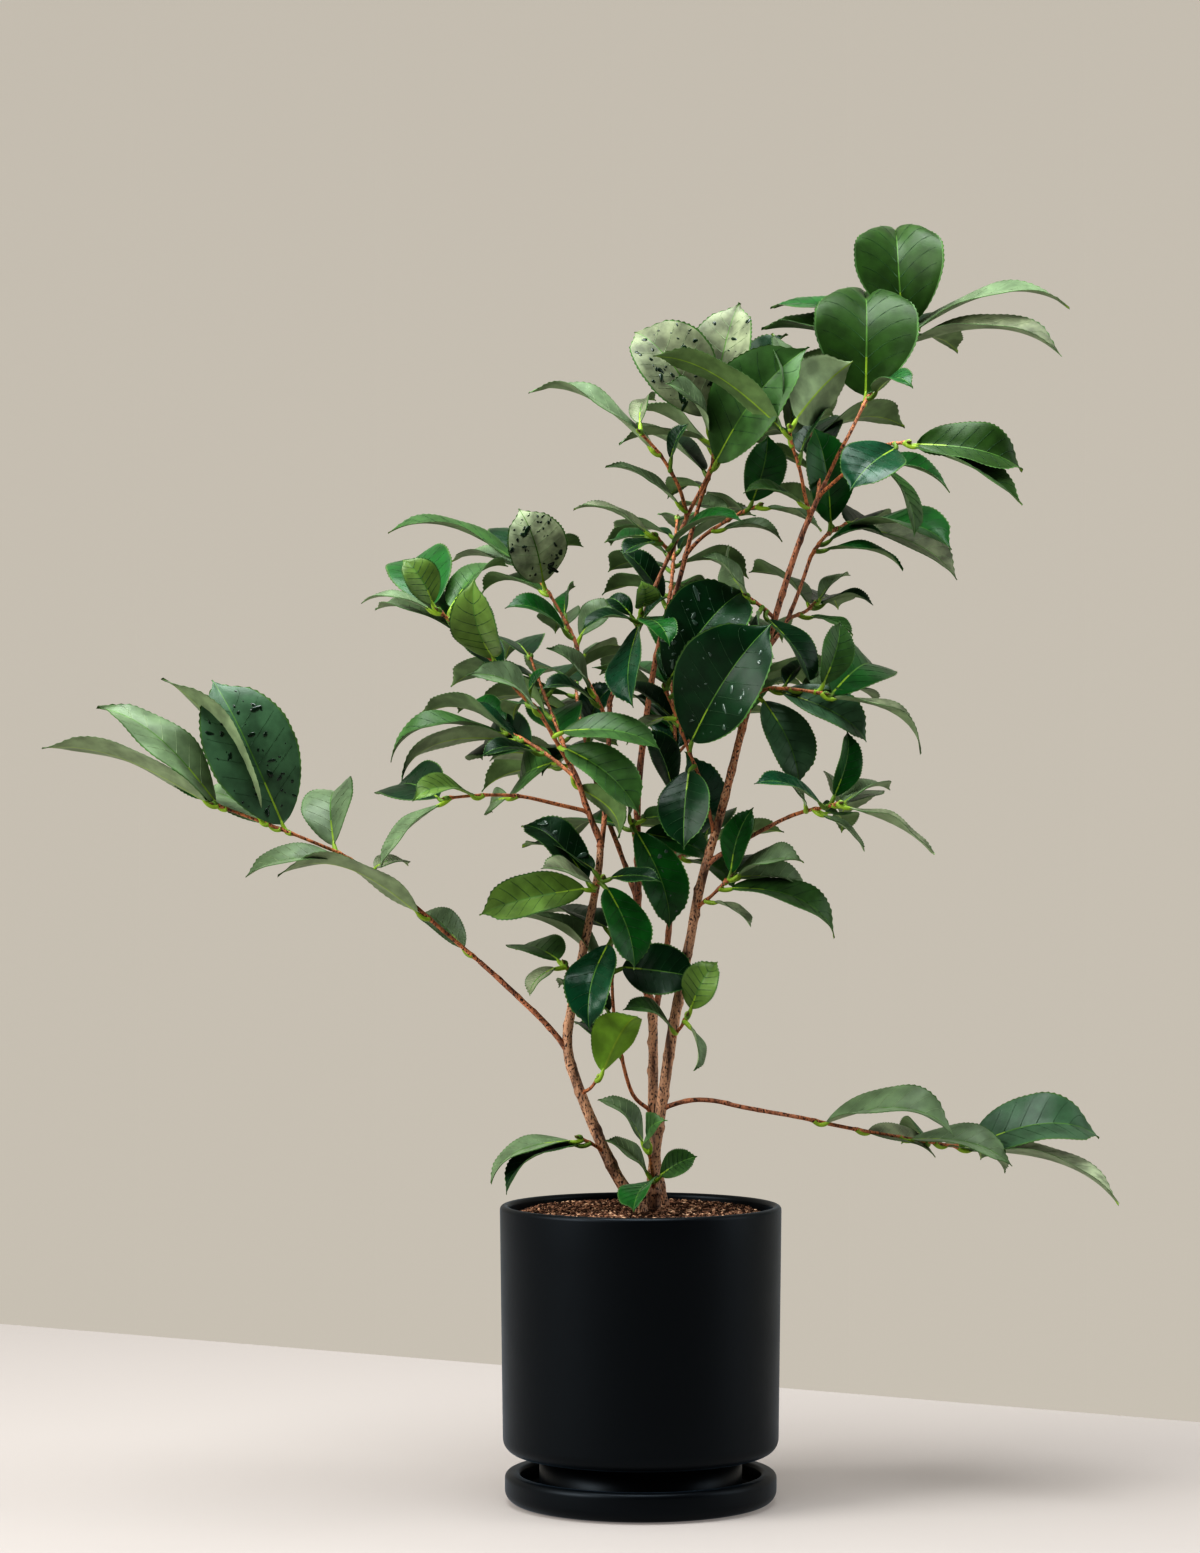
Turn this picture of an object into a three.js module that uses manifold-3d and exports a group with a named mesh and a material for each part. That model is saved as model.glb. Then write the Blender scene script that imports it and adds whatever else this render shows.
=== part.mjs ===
// Camellia shrub: three stems in a round black pot on its saucer, with bare boughs below and
// masses of pointed leaves above. Millimetres, +Z up, front towards -Y. The origin is the
// middle of the saucer's flat underside.
import * as THREE from "three";
import Module from "manifold-3d";

const wasm = await Module();
wasm.setup();

// ---- Pot, saucer and soil -------------------------------------------------------------
const POT = {
  rimRadius: 101.5, // outside, at the rim
  bodyRadius: 99.3, // outside, just above the rounded bottom edge
  wall: 6.5,
  rimHeight: 212.5,
  bodyUnderside: 34.8,
  bottomRound: 11,
  footRadius: 73, // the foot that stands in the saucer
  floor: 8, // thickness of the bottom
};
const SAUCER = {
  radius: 97.8,
  height: 21.3,
  crestRadius: 93.4, // where the rim is highest
  wellRadius: 86.5, // inside wall
  floor: 6,
  bottomRound: 9,
};
const SOIL = { top: 209, shoulderRadius: 80, edgeHeight: 201 };
const GAP = 0.3; // clear space between any two solids
const SIDES = 32; // of a turned solid
const LINE_STEPS = 4; // points a limb's line takes from one named point to the next

// ---- Plant ----------------------------------------------------------------------------
// The plant is laid out in squares of SQUARE mm: [right, back, up] from the origin.
const SQUARE = 0.7225;
const LAYOUT_LOW = 2.8; // mm the layout's lowest line lies below the origin
const SOIL_UP = 288; // the soil's top in squares

const LEAF = {
  petiole: 9, // mm from the twig to the blade
  petioleRadius: 0.9,
  thick: 1.5, // mm at the midrib
  width: [0.46, 0.6], // of the blade's length
  fold: [12, 28], // degrees each half is lifted
  curl: [34, 76], // degrees the blade turns down from base to tip
  length: [56, 84], // mm of a blade placed by rule
};
// Half width of a blade along its length, as shares of the greatest.
const OUTLINE = [
  [0.26, 0.9],
  [0.66, 0.94],
];
const KEEP_CLEAR = 5; // mm wanted between blades
const LEAST_CLEAR = 1.6; // mm below which a blade is left out
// Squares a blade's tip may move back or forward to find its room.
const DEPTH_TRIES = [0, 10, -10, 20, -20, 32, -32];
const GOLDEN = 137.5;

// Stems stand on the soil; a bough starts on the flank of its parent, or on its tip.
const LIMBS = {
  stem_left: {
    radius: [4.5, 2.5],
    points: [[0, -22, SOIL_UP], [-29, -20, 338], [-60, -18, 411], [-73, -15, 457],
      [-66, -13, 508], [-44, -12, 618], [-40, -12, 659]],
  },
  stem_middle: {
    radius: [4.3, 3.2],
    points: [[23, 42, SOIL_UP], [14, 40, 350], [13, 38, 406], [13, 36, 469], [11, 34, 498]],
  },
  stem_right: {
    radius: [4.4, 1.8],
    points: [[13, 4, SOIL_UP], [14, 3, 344], [24, 0, 418], [36, -2, 495], [50, -4, 566],
      [60, -6, 618], [80, -8, 688], [103, -10, 779], [125, -10, 852], [145, -10, 919],
      [163, -10, 971], [185, -10, 1020]],
  },
  bough_left_low: {
    from: ["stem_left", 452],
    radius: [2.1, 1.7],
    points: [[-97, -19, 482], [-139, -22, 522], [-160, -24, 541]],
  },
  bough_right_low: {
    from: ["stem_right", 394],
    radius: [1.7, 1.4],
    points: [[48, -4, 402], [72, -4, 402], [103, 0, 395], [161, 8, 384]],
  },
  bough_upper_left: {
    from: ["stem_left", "tip"],
    radius: [2.2, 1.8],
    points: [[-49, -16, 682], [-57, -18, 704], [-65, -20, 727], [-71, -22, 736]],
  },
  bough_centre: {
    from: ["stem_left", 640],
    radius: [2, 1.7],
    points: [[-36, 6, 685], [-34, 12, 730], [-31, 14, 771], [-31, 14, 800]],
  },
  bough_centre_high: {
    from: ["bough_centre", "tip"],
    radius: [1.7, 1.4],
    points: [[-16, 12, 841], [-2, 10, 873], [15, 8, 917], [36, 6, 962], [51, 4, 995]],
  },
  bough_middle: {
    from: ["stem_middle", "tip"],
    radius: [3, 1.6],
    points: [[-3, 36, 545], [-2, 38, 622], [-2, 38, 712], [10, 36, 812], [22, 34, 871],
      [40, 32, 926], [55, 30, 986]],
  },
  bough_back: {
    from: ["stem_middle", 478],
    radius: [2.5, 1.7],
    points: [[26, 66, 540], [34, 84, 620], [36, 96, 700]],
  },
  bough_back_left: {
    from: ["bough_middle", 600],
    radius: [2, 1.5],
    points: [[-20, 72, 650], [-40, 100, 705], [-52, 118, 752]],
  },
  bough_right_middle: {
    from: ["stem_right", 634],
    radius: [1.7, 1.3],
    points: [[84, -14, 650], [100, -16, 660], [133, -18, 678], [150, -18, 686]],
  },
  bough_right_high: {
    from: ["stem_right", 846],
    radius: [1.6, 1.3],
    points: [[146, 10, 880], [158, 14, 908], [171, 14, 946]],
  },
};

// Each mass of leaves grows from one twig, which starts on a limb's flank at a height in
// squares or on its tip. A twig after the first starts on the first, at a share of its
// length. A leaf is [share of the twig, its tip right, back, up, how far its upper face
// turns to the front from 1 to -1, and where the rule doesn't set them its width as a share
// of its length and its curl in degrees]; `more` is [how many, compass heading] by rule.
const MASSES = {
  leaves_left_low: {
    from: ["bough_left_low", "tip"],
    twigs: [{
      path: [[-196, -36, 572], [-231, -49, 603], [-285, -61, 642], [-318, -71, 658],
        [-365, -84, 677], [-413, -96, 695]],
      leaves: [[1, -583, -106, 751, -0.3, 0.34], [0.97, -535, -70, 791, 0.6, 0.36],
        [0.83, -467, -103, 819, -0.4, 0.34], [0.75, -422, -66, 819, 0.95, 0.58],
        [0.54, -388, -93, 625, 0.35], [0.58, -300, 14, 707, 0.9, 0.7, 95],
        [0.45, -232, -8, 636, 0.3], [0.22, -355, -58, 627, -0.3, 0.34],
        [0.03, -222, 32, 588, 0.7]],
      more: [2, 100],
    }],
  },
  leaves_right_low: {
    from: ["bough_right_low", "tip"],
    twigs: [{
      path: [[209, 18, 373], [278, 34, 360], [321, 48, 352]],
      leaves: [[0.08, 311, -20, 369, 0.4, 0.46, 80], [0.35, 300, 84, 340, 0.3],
        [0.62, 371, 0, 336, 0.4], [1, 466, 60, 360, 0.6, 0.56], [1, 478, 26, 297, 0.12],
        [0.85, 374, 92, 322, 0.2]],
      more: [2, 80],
    }],
  },
  leaves_pot_left: {
    from: ["stem_left", 352],
    twigs: [{
      path: [[-50, -34, 362], [-58, -38, 366]],
      leaves: [[1, -148, -46, 323, 0.35, 0.4, 85], [0.6, -133, -78, 314, 0.3, 0.42, 80]],
    }],
  },
  leaves_pot_front: {
    from: ["stem_right", 312],
    twigs: [{
      path: [[12, -16, 328], [8, -26, 352]],
      leaves: [[0.2, -36, -66, 364, 0.4], [0.1, 56, -44, 348, 0.85, 0.7], [1, -43, -30, 404, 0.5],
        [1, 24, -84, 388, 0.4], [0.15, -8, -96, 300, 0.5]],
    }],
  },
  leaves_foot_left: {
    from: ["stem_left", 408],
    twigs: [{
      path: [[-50, -32, 416], [-44, -38, 424]],
      leaves: [[1, -4, -74, 489, -0.85, 0.72]],
    }],
  },
  leaves_bend_left: {
    from: ["stem_left", 510],
    twigs: [{
      path: [[-70, -26, 528], [-74, -30, 536]],
      leaves: [[1, -110, -44, 508, 0.6, 0.6, 80]],
      more: [1, 100],
    }],
  },
  leaves_foot_right: {
    from: ["stem_right", 462],
    twigs: [{
      path: [[40, -20, 476], [44, -24, 484]],
      leaves: [[0.1, -18, -52, 494, 0.35], [1, 76, -30, 541, 0.9, 0.74, 75],
        [0.9, 52, -46, 434, 0.35]],
    }],
  },
  leaves_inner: {
    from: ["stem_middle", 386],
    twigs: [{
      path: [[-8, 20, 407], [-19, 8, 445], [-27, 0, 492], [-29, -6, 547], [-29, -8, 567]],
      leaves: [[0.97, -51, -40, 475, 0.9, 0.58], [0.8, 56, -4, 524, 0.9, 0.76]],
      more: [2, 130],
    }],
  },
  leaves_middle_left: {
    from: ["stem_left", 606],
    twigs: [{
      path: [[-45, -30, 616], [-40, -38, 622]],
      leaves: [[0.3, -160, -32, 587, 0.85, 0.5], [0.2, -119, 0, 676, 0.75, 0.56],
        [0.9, -7, -60, 534, 0.85], [1, 20, -66, 620, 0.6], [0.5, -98, -70, 634, 0.4]],
      more: [1, 150],
    }],
  },
  leaves_core_low: {
    from: ["bough_middle", 650],
    twigs: [{
      path: [[-6, 16, 664], [-8, -4, 678]],
      leaves: [[1, 28, -46, 574, 0.9, 0.52], [0.6, 72, -10, 640, 0.7], [1, -34, -44, 730, 0.5]],
      more: [2, 60],
    }],
  },
  leaves_right_side: {
    from: ["stem_right", 592],
    twigs: [{
      path: [[70, -20, 606], [86, -24, 622]],
      leaves: [[0.2, 108, -50, 576, 0.3], [0.7, 192, -30, 565, 0.55, 0.4, 85],
        [1, 169, 4, 612, 0.45],
        [1, 160, -56, 640, 0.4], [0.9, 112, -30, 694, 0.8]],
      more: [1, 90],
    }],
  },
  leaves_right_middle: {
    from: ["bough_right_middle", "tip"],
    twigs: [{
      path: [[165, -40, 691], [176, -62, 693], [192, -84, 697]],
      leaves: [[0.5, 219, -64, 650, 0.3, 0.4], [1, 285, -94, 646, 0.15, 0.36],
        [0.8, 203, -54, 769, 0.8, 0.5],
        [0.9, 247, -44, 711, 0.25], [0.3, 139, -78, 720, 0.4]],
      more: [2, 90],
    }],
  },
  leaves_middle_left_arm: {
    from: ["bough_upper_left", 690],
    twigs: [{
      path: [[-82, -28, 697], [-119, -43, 705], [-155, -58, 706], [-188, -74, 703]],
      leaves: [[0.75, -222, -90, 699, 0.5], [1, -255, -74, 634, 0.3], [0.5, -149, 13, 690, 0.5]],
      more: [1, 100],
    }],
  },
  leaves_upper_left: {
    from: ["bough_upper_left", "tip"],
    twigs: [{
      path: [[-82, -40, 756], [-103, -56, 791], [-118, -72, 804], [-149, -86, 840],
        [-173, -100, 864], [-195, -114, 882]],
      leaves: [[0.12, -2, -80, 686, 0.85],
        [0.18, 19, -65, 750, 0.55], [0.3, -168, -132, 820, 0.6, 0.38, 60],
        [0.62, -161, -108, 915, 0.9, 0.58],
        [0.7, -176, -49, 906, 0.6], [1, -232, -120, 933, 0.9, 0.76, 70],
        [1, -273, -134, 892, 0.25, 0.36],
        [0.9, -228, -66, 909, 0.3], [0.4, -92, -104, 830, 0.5]],
      more: [2, 100],
    }],
  },
  leaves_left_side: {
    from: ["bough_upper_left", 722],
    twigs: [{
      path: [[-86, 15, 742], [-113, 43, 761], [-133, 64, 772]],
      leaves: [[1, -253, 56, 741, 0.35, 0.36, 100], [0.85, -240, 14, 717, -0.3, 0.36, 90],
        [0.6, -163, 112, 746, 0.6],
        [0.5, -159, -12, 745, 0.5], [0.3, -120, 77, 716, 0.5],
        [0.03, -24, -56, 662, -0.5, 0.6, 85]],
      more: [2, 120],
    }],
  },
  leaves_centre_left: {
    from: ["bough_centre", 776],
    twigs: [{
      path: [[-46, 20, 809], [-60, 31, 837], [-66, 43, 864], [-90, 56, 909],
        [-115, 68, 941]],
      leaves: [[0.8, -123, 34, 997, 0.95, 0.84, 85], [1, -257, 72, 975, 0.25, 0.36],
        [0.95, -193, 102, 949, 0.25],
        [0.5, -136, 46, 895, 0.5], [0.12, -94, -31, 852, 0.5], [0.06, -98, -58, 812, 0.4],
        [0.45, -24, 66, 902, 0.85], [0.6, -66, 103, 923, 0.4]],
      more: [2, 80],
    }],
  },
  leaves_centre: {
    from: ["bough_centre_high", 868],
    twigs: [{
      path: [[-2, -6, 880], [0, -18, 886]],
      leaves: [[1, 0, -50, 918, 0.9, 0.85, 100], [0.8, 28, -74, 852, 0.8],
        [0.5, -8, -64, 792, 0.6],
        [0.6, -58, -50, 870, 0.4], [0.3, -32, 14, 904, 0.85, 0.7, 85],
        [0.2, 26, -20, 904, 0.4]],
    }],
  },
  leaves_core_right: {
    from: ["stem_right", 666],
    twigs: [{
      path: [[62, -26, 714], [48, -34, 749], [35, -38, 783], [25, -40, 809]],
      leaves: [[0.55, 128, -56, 874, 0.95, 0.68, 60], [1, 105, -36, 910, 0.95, 0.74, 75],
        [0.45, 42, -72, 652, 0.95, 0.66],
        [0.8, -14, -66, 756, 0.5], [0.7, 80, -10, 784, 0.5]],
      more: [1, 60],
    }],
  },
  leaves_right_upper: {
    from: ["stem_right", 800],
    twigs: [{
      path: [[123, -33, 811], [149, -49, 811], [178, -62, 806]],
      leaves: [[0.1, 156, -60, 716, 0.9, 0.6], [0.35, 223, -64, 759, 0.8, 0.5],
        [1, 275, -70, 747, 0.2, 0.32, 80], [0.9, 196, -44, 878, 0.9, 0.54], [0.4, 171, 4, 837, 0.5],
        [0.6, 238, -4, 799, 0.4]],
      more: [1, 90],
    }],
  },
  leaves_right_high: {
    from: ["bough_right_high", "tip"],
    twigs: [{
      path: [[188, 40, 970], [210, 66, 984]],
      leaves: [[1, 322, 52, 926, 0.6, 0.46], [0.8, 309, 5, 950, 0.4],
        [0.15, 264, 12, 933, 0.3, 0.4],
        [0.6, 174, 30, 1080, 0.9, 0.6], [0.3, 247, 57, 969, 0.3]],
      more: [1, 80],
    }],
  },
  leaves_right_inner: {
    from: ["bough_right_high", 884],
    twigs: [{
      path: [[167, 40, 893], [178, 62, 903]],
      leaves: [[0.8, 236, 42, 900, 0.2], [0.3, 213, 6, 867, 0.4], [0.9, 216, 86, 933, 0.4]],
      more: [2, 90],
    }],
  },
  leaves_centre_right: {
    from: ["stem_right", 880],
    twigs: [{
      path: [[120, -24, 894], [108, -30, 902]],
      leaves: [[0.8, 61, -52, 942, 0.4], [1, 91, -10, 956, 0.4], [0.3, 168, -40, 812, 0.55],
        [0.5, 130, -66, 840, 0.4]],
    }],
  },
  leaves_centre_high: {
    from: ["bough_centre_high", 950],
    twigs: [{
      path: [[22, -4, 958], [16, -12, 964]],
      leaves: [[1, -67, -8, 992, 0.3, 0.34], [0.6, -18, -44, 944, 0.6], [0.1, 101, -30, 976, 0.3],
        [0.9, -30, 30, 960, 0.4]],
    }],
  },
  leaves_middle_right: {
    from: ["bough_middle", 952],
    twigs: [{
      path: [[66, 24, 970], [95, 18, 988], [116, 14, 997]],
      leaves: [[0.85, 127, -8, 1068, 0.9, 0.66], [1, 182, -10, 972, 0.2],
        [0.35, 143, 0, 962, 0.35],
        [0.6, 40, 60, 1000, 0.4]],
      more: [2, 70],
    }],
  },
  leaves_top_left: {
    from: ["bough_centre_high", 986],
    twigs: [{
      path: [[38, -19, 1014], [20, -37, 1043], [1, -56, 1062]],
      leaves: [[0.7, -111, -41, 1111, 0.3, 0.34], [0.02, -35, -19, 1034, 0.3, 0.38],
        [0.5, 47, -69, 1075, 0.6], [1, 15, -6, 1102, 0.5]],
    }],
  },
  leaves_top_centre: {
    from: ["bough_centre_high", "tip"],
    twigs: [{
      path: [[65, 2, 1022], [73, -2, 1045], [70, -4, 1080]],
      leaves: [[0.45, 166, -28, 1148, 0.9, 0.56], [0.95, -6, 8, 1172, 0.95, 0.76, 85],
        [1, 100, 16, 1203, 0.85, 0.64],
        [0.8, 24, -50, 1112, 0.4], [0.6, 118, 40, 1110, 0.5]],
      more: [1, 100],
    }],
  },
  leaves_top_back: {
    from: ["bough_middle", "tip"],
    twigs: [{
      path: [[66, 40, 1020], [84, 54, 1066], [98, 60, 1100]],
      leaves: [[1, 150, 50, 1176, 0.6], [0.9, 40, 60, 1150, 0.4]],
      more: [4, 80],
    }],
  },
  leaves_top_middle: {
    from: ["stem_right", 984],
    twigs: [{
      path: [[163, -34, 1003], [157, -50, 1028], [148, -64, 1053], [146, -76, 1064]],
      leaves: [[0.9, 11, -108, 1135, -0.5, 0.3, 60], [1, 211, -70, 1137, -0.85, 0.7],
        [0.1, 101, -56, 1004, 0.35],
        [0.8, 131, -42, 1168, 0.5], [0.6, 194, -4, 1087, 0.4]],
    }],
  },
  leaves_right_cluster: {
    from: ["stem_right", 1006],
    twigs: [{
      path: [[205, -45, 1028], [233, -71, 1048], [257, -92, 1050]],
      leaves: [[0.9, 201, -134, 999, 0.85, 0.86], [1, 372, -96, 1022, 0.8, 0.54, 60],
        [1, 368, -126, 985, 0.5, 0.42],
        [0.6, 265, -104, 957, 0.4], [0.5, 307, -28, 1007, 0.4]],
    }],
  },
  leaves_top_right: {
    from: ["stem_right", "tip"],
    twigs: [{
      path: [[196, -12, 1044], [210, -8, 1070], [228, 8, 1106], [250, 36, 1146],
        [268, 60, 1176]],
      leaves: [[0.46, 230, 70, 1212, 1, 0.8, 108], [0.98, 266, 118, 1284, 1, 0.78, 108],
        [1, 434, 30, 1200, 0.3, 0.34, 70], [0.9, 422, -4, 1146, 0.35, 0.34, 62],
        [0.86, 134, 88, 1206, 0.35], [0.8, 124, 66, 1182, 0.35],
        [0.5, 268, -60, 1108, 0.4]],
      more: [2, 90],
    }],
  },
  leaves_back_low: {
    from: ["bough_back", 640],
    twigs: [{
      path: [[54, 124, 652], [68, 178, 664]],
      leaves: [[0.2, 46, 84, 752, 0.8, 0.6], [0.1, 96, 60, 612, 0.6, 0.56]],
      more: [4, 80],
    }],
  },
  leaves_back_middle: {
    from: ["bough_back", "tip"],
    twigs: [{
      path: [[38, 124, 750], [36, 172, 800], [34, 210, 846]],
      leaves: [[0.02, 2, 74, 776, 0.8, 0.58], [0.1, 62, 66, 702, 0.7, 0.6]],
      more: [5, 85],
    }, {
      from: 0.3,
      path: [[72, 152, 790], [98, 190, 830]],
      more: [3, 50],
    }],
  },
  leaves_back_left: {
    from: ["bough_back_left", "tip"],
    twigs: [{
      path: [[-62, 150, 790], [-66, 186, 824]],
      leaves: [[0.05, -100, 90, 728, 0.6, 0.56], [0.1, -22, 88, 822, 0.7, 0.6]],
      more: [5, 110],
    }, {
      from: 0.1,
      path: [[-74, 172, 740], [-84, 214, 744]],
      more: [3, 130],
    }],
  },
  leaves_back_high: {
    from: ["bough_middle", 880],
    twigs: [{
      path: [[32, 76, 920], [36, 124, 960], [40, 160, 996]],
      leaves: [[0.1, -20, 56, 956, 0.7, 0.56]],
      more: [5, 80],
    }],
  },
  leaves_back_top: {
    from: ["stem_right", 1002],
    twigs: [{
      path: [[180, 24, 1030], [176, 76, 1072], [176, 124, 1104]],
      more: [5, 85],
    }],
  },
  leaves_back_upper_left: {
    from: ["bough_upper_left", 712],
    twigs: [{
      path: [[-78, 22, 760], [-98, 76, 812], [-112, 118, 850]],
      more: [5, 95],
    }],
  },
  leaves_back_right: {
    from: ["stem_right", 740],
    twigs: [{
      path: [[104, 30, 780], [116, 82, 830], [124, 126, 870]],
      more: [5, 70],
    }],
  },
};

const COLOURS = {
  pot: 0x14171c,
  saucer: 0x14171c,
  soil: 0x3d291e,
  stem: 0x8a6a50,
  bough: 0x7a4b34,
  leaves: 0x2c5a33,
};

// ---- Small tools ----------------------------------------------------------------------
const vec = (x, y, z) => new THREE.Vector3(x, y, z);
const UP = vec(0, 0, 1);
const FRONT = vec(0, -1, 0);
const heightOf = (up) => up * SQUARE - LAYOUT_LOW;
const place = ([right, back, up]) => vec(right * SQUARE, back * SQUARE, heightOf(up));
const radians = (degrees) => (degrees * Math.PI) / 180;
const mix = (range, share) => range[0] + (range[1] - range[0]) * share;

// Repeatable numbers from 0 to 1 for one seed.
function seeded(seed) {
  let state = seed >>> 0;
  return () => {
    state = (state + 0x6d2b79f5) >>> 0;
    let t = state;
    t = Math.imul(t ^ (t >>> 15), t | 1);
    t ^= t + Math.imul(t ^ (t >>> 7), t | 61);
    return ((t ^ (t >>> 14)) >>> 0) / 4294967296;
  };
}

// The part of a vector that is square to an axis, one unit long.
function squareTo(v, axis) {
  const flat = v.clone().addScaledVector(axis, -v.dot(axis));
  return flat.normalize();
}

// A smooth line through the points, in `steps` pieces from each to the next.
function smooth(points, steps) {
  const at = (i) => points[Math.min(Math.max(i, 0), points.length - 1)];
  const line = [];
  for (let i = 0; i < points.length - 1; i++) {
    const [a, b, c, d] = [at(i - 1), at(i), at(i + 1), at(i + 2)];
    for (let k = 0; k < steps; k++) {
      const t = k / steps;
      const p = vec(0, 0, 0);
      p.addScaledVector(a, 0.5 * (-t + 2 * t * t - t * t * t));
      p.addScaledVector(b, 0.5 * (2 - 5 * t * t + 3 * t * t * t));
      p.addScaledVector(c, 0.5 * (t + 4 * t * t - 3 * t * t * t));
      p.addScaledVector(d, 0.5 * (-t * t + t * t * t));
      line.push(p);
    }
  }
  line.push(points[points.length - 1].clone());
  return line;
}

// Point and direction at a share of a line's length.
function along(line, share) {
  const lengths = [0];
  for (let i = 1; i < line.length; i++) {
    lengths.push(lengths[i - 1] + line[i].distanceTo(line[i - 1]));
  }
  const want = share * lengths[lengths.length - 1];
  let i = 1;
  while (i < line.length - 1 && lengths[i] < want) i++;
  const t = (want - lengths[i - 1]) / (lengths[i] - lengths[i - 1]);
  return {
    point: line[i - 1].clone().lerp(line[i], t),
    direction: line[i].clone().sub(line[i - 1]).normalize(),
    share,
  };
}

// The share of a line's length where it first rises past a height.
function shareAtHeight(line, height) {
  for (let k = 0; k <= 200; k++) {
    if (along(line, k / 200).point.z >= height) return k / 200;
  }
  return 1;
}

// A closed solid from points and triangles, turned to face out.
function solid(points, triangles) {
  const make = (faces) => new wasm.Manifold(new wasm.Mesh({
    numProp: 3,
    vertProperties: new Float32Array(points.flatMap((p) => [p.x, p.y, p.z])),
    triVerts: new Uint32Array(faces.flat()),
  }));
  const made = make(triangles);
  if (made.volume() > 0) return made;
  return make(triangles.map(([a, b, c]) => [a, c, b]));
}

function geometryOf(manifold) {
  const mesh = manifold.getMesh();
  const position = new Float32Array(mesh.numVert * 3);
  for (let i = 0; i < mesh.numVert; i++) {
    const from = i * mesh.numProp;
    position.set(mesh.vertProperties.subarray(from, from + 3), i * 3);
  }
  const geometry = new THREE.BufferGeometry();
  geometry.setAttribute("position", new THREE.BufferAttribute(position, 3));
  geometry.setIndex(new THREE.BufferAttribute(new Uint32Array(mesh.triVerts), 1));
  geometry.computeVertexNormals();
  return geometry;
}

// A solid of rings of points: joined side to side, with a flat or pointed end each.
function loft(rings) {
  const points = [];
  const triangles = [];
  const starts = rings.map((ring) => points.push(...ring) - ring.length);
  for (let k = 0; k < rings.length - 1; k++) {
    const [a, b] = [rings[k].length, rings[k + 1].length];
    for (let i = 0; i < Math.max(a, b); i++) {
      const j = (i + 1) % Math.max(a, b);
      const low = [starts[k] + (i % a), starts[k] + (j % a)];
      const high = [starts[k + 1] + (i % b), starts[k + 1] + (j % b)];
      if (a > 1) triangles.push([low[0], low[1], high[1]]);
      if (b > 1) triangles.push([low[0], high[1], high[0]]);
    }
  }
  for (const [k, turned] of [[0, true], [rings.length - 1, false]]) {
    for (let i = 1; i < rings[k].length - 1; i++) {
      const [p, q] = [starts[k] + i, starts[k] + i + 1];
      triangles.push(turned ? [starts[k], q, p] : [starts[k], p, q]);
    }
  }
  return solid(points, triangles);
}

// A solid turned round the pot's axis, its [radius, height] pairs running up the outside
// from the axis and back to it.
function turned(profile) {
  const outline = profile.map(([radius, height]) => new THREE.Vector2(radius, height));
  return new THREE.LatheGeometry(outline, SIDES).rotateX(Math.PI / 2);
}

// A quarter round from one corner of a profile to the other.
function round(centre, radius, fromDegrees, toDegrees, steps) {
  return Array.from({ length: steps + 1 }, (_, k) => {
    const angle = radians(fromDegrees + ((toDegrees - fromDegrees) * k) / steps);
    return [centre[0] + radius * Math.cos(angle), centre[1] + radius * Math.sin(angle)];
  });
}

// A round limb along a line, its radius given for each share of the length; its first end
// may be cut to face a given way.
function tube(line, radiusAt, sides, facing, every) {
  const rings = [];
  let side = vec(0, 0, 0);
  line.forEach((point, k) => {
    if (k % every) return; // a ring on every few points
    const before = line[Math.max(k - 1, 0)];
    const after = line[Math.min(k + 1, line.length - 1)];
    let direction = after.clone().sub(before).normalize();
    if (k === 0 && facing) direction = facing;
    side = k ? squareTo(side, direction) : squareTo(vec(1, 0.3, 0.2), direction);
    const other = direction.clone().cross(side);
    const radius = radiusAt(k / (line.length - 1));
    rings.push(Array.from({ length: sides }, (_, i) => {
      const angle = (2 * Math.PI * i) / sides;
      const rim = point.clone();
      rim.addScaledVector(side, radius * Math.cos(angle));
      rim.addScaledVector(other, radius * Math.sin(angle));
      return rim;
    }));
  });
  return loft(rings);
}

// ---- Limbs ----------------------------------------------------------------------------
const LIMB_RINGS = 4; // points of the line from ring to ring
const TWIG_RINGS = 2;

// A tube whose first end is slid along its line until it is just clear of its parent.
function seatedTube(line, radiusAt, sides, every, parent) {
  const inward = line[0].clone().sub(line[1]).normalize();
  const first = line[0].clone();
  let made = null;
  for (let k = 0; k < 8; k++) {
    made = tube([first, ...line.slice(1)], radiusAt, sides, null, every);
    const gap = made.minGap(parent.solid, 10);
    if (Math.abs(gap - GAP) < 0.04) break;
    first.addScaledVector(inward, gap > 0 ? gap - GAP : -0.6);
  }
  return made;
}

// Where a limb or twig starts: just clear of its parent's tip, or of its parent's flank.
function startOn(parent, where, first, radius) {
  if (where === "tip") {
    const { point, direction } = along(parent.line, 1);
    return { start: point.addScaledVector(direction, GAP), facing: direction };
  }
  const share = shareAtHeight(parent.line, heightOf(where));
  const { point, direction } = along(parent.line, share);
  const away = first.clone().sub(point).normalize();
  const lean = Math.min(Math.abs(away.dot(direction)), 0.97);
  const reach = (parent.radiusAt(share) + GAP + 0.05 + radius * lean)
    / Math.sqrt(1 - lean * lean);
  return { start: point.addScaledVector(away, reach), facing: null };
}

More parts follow.
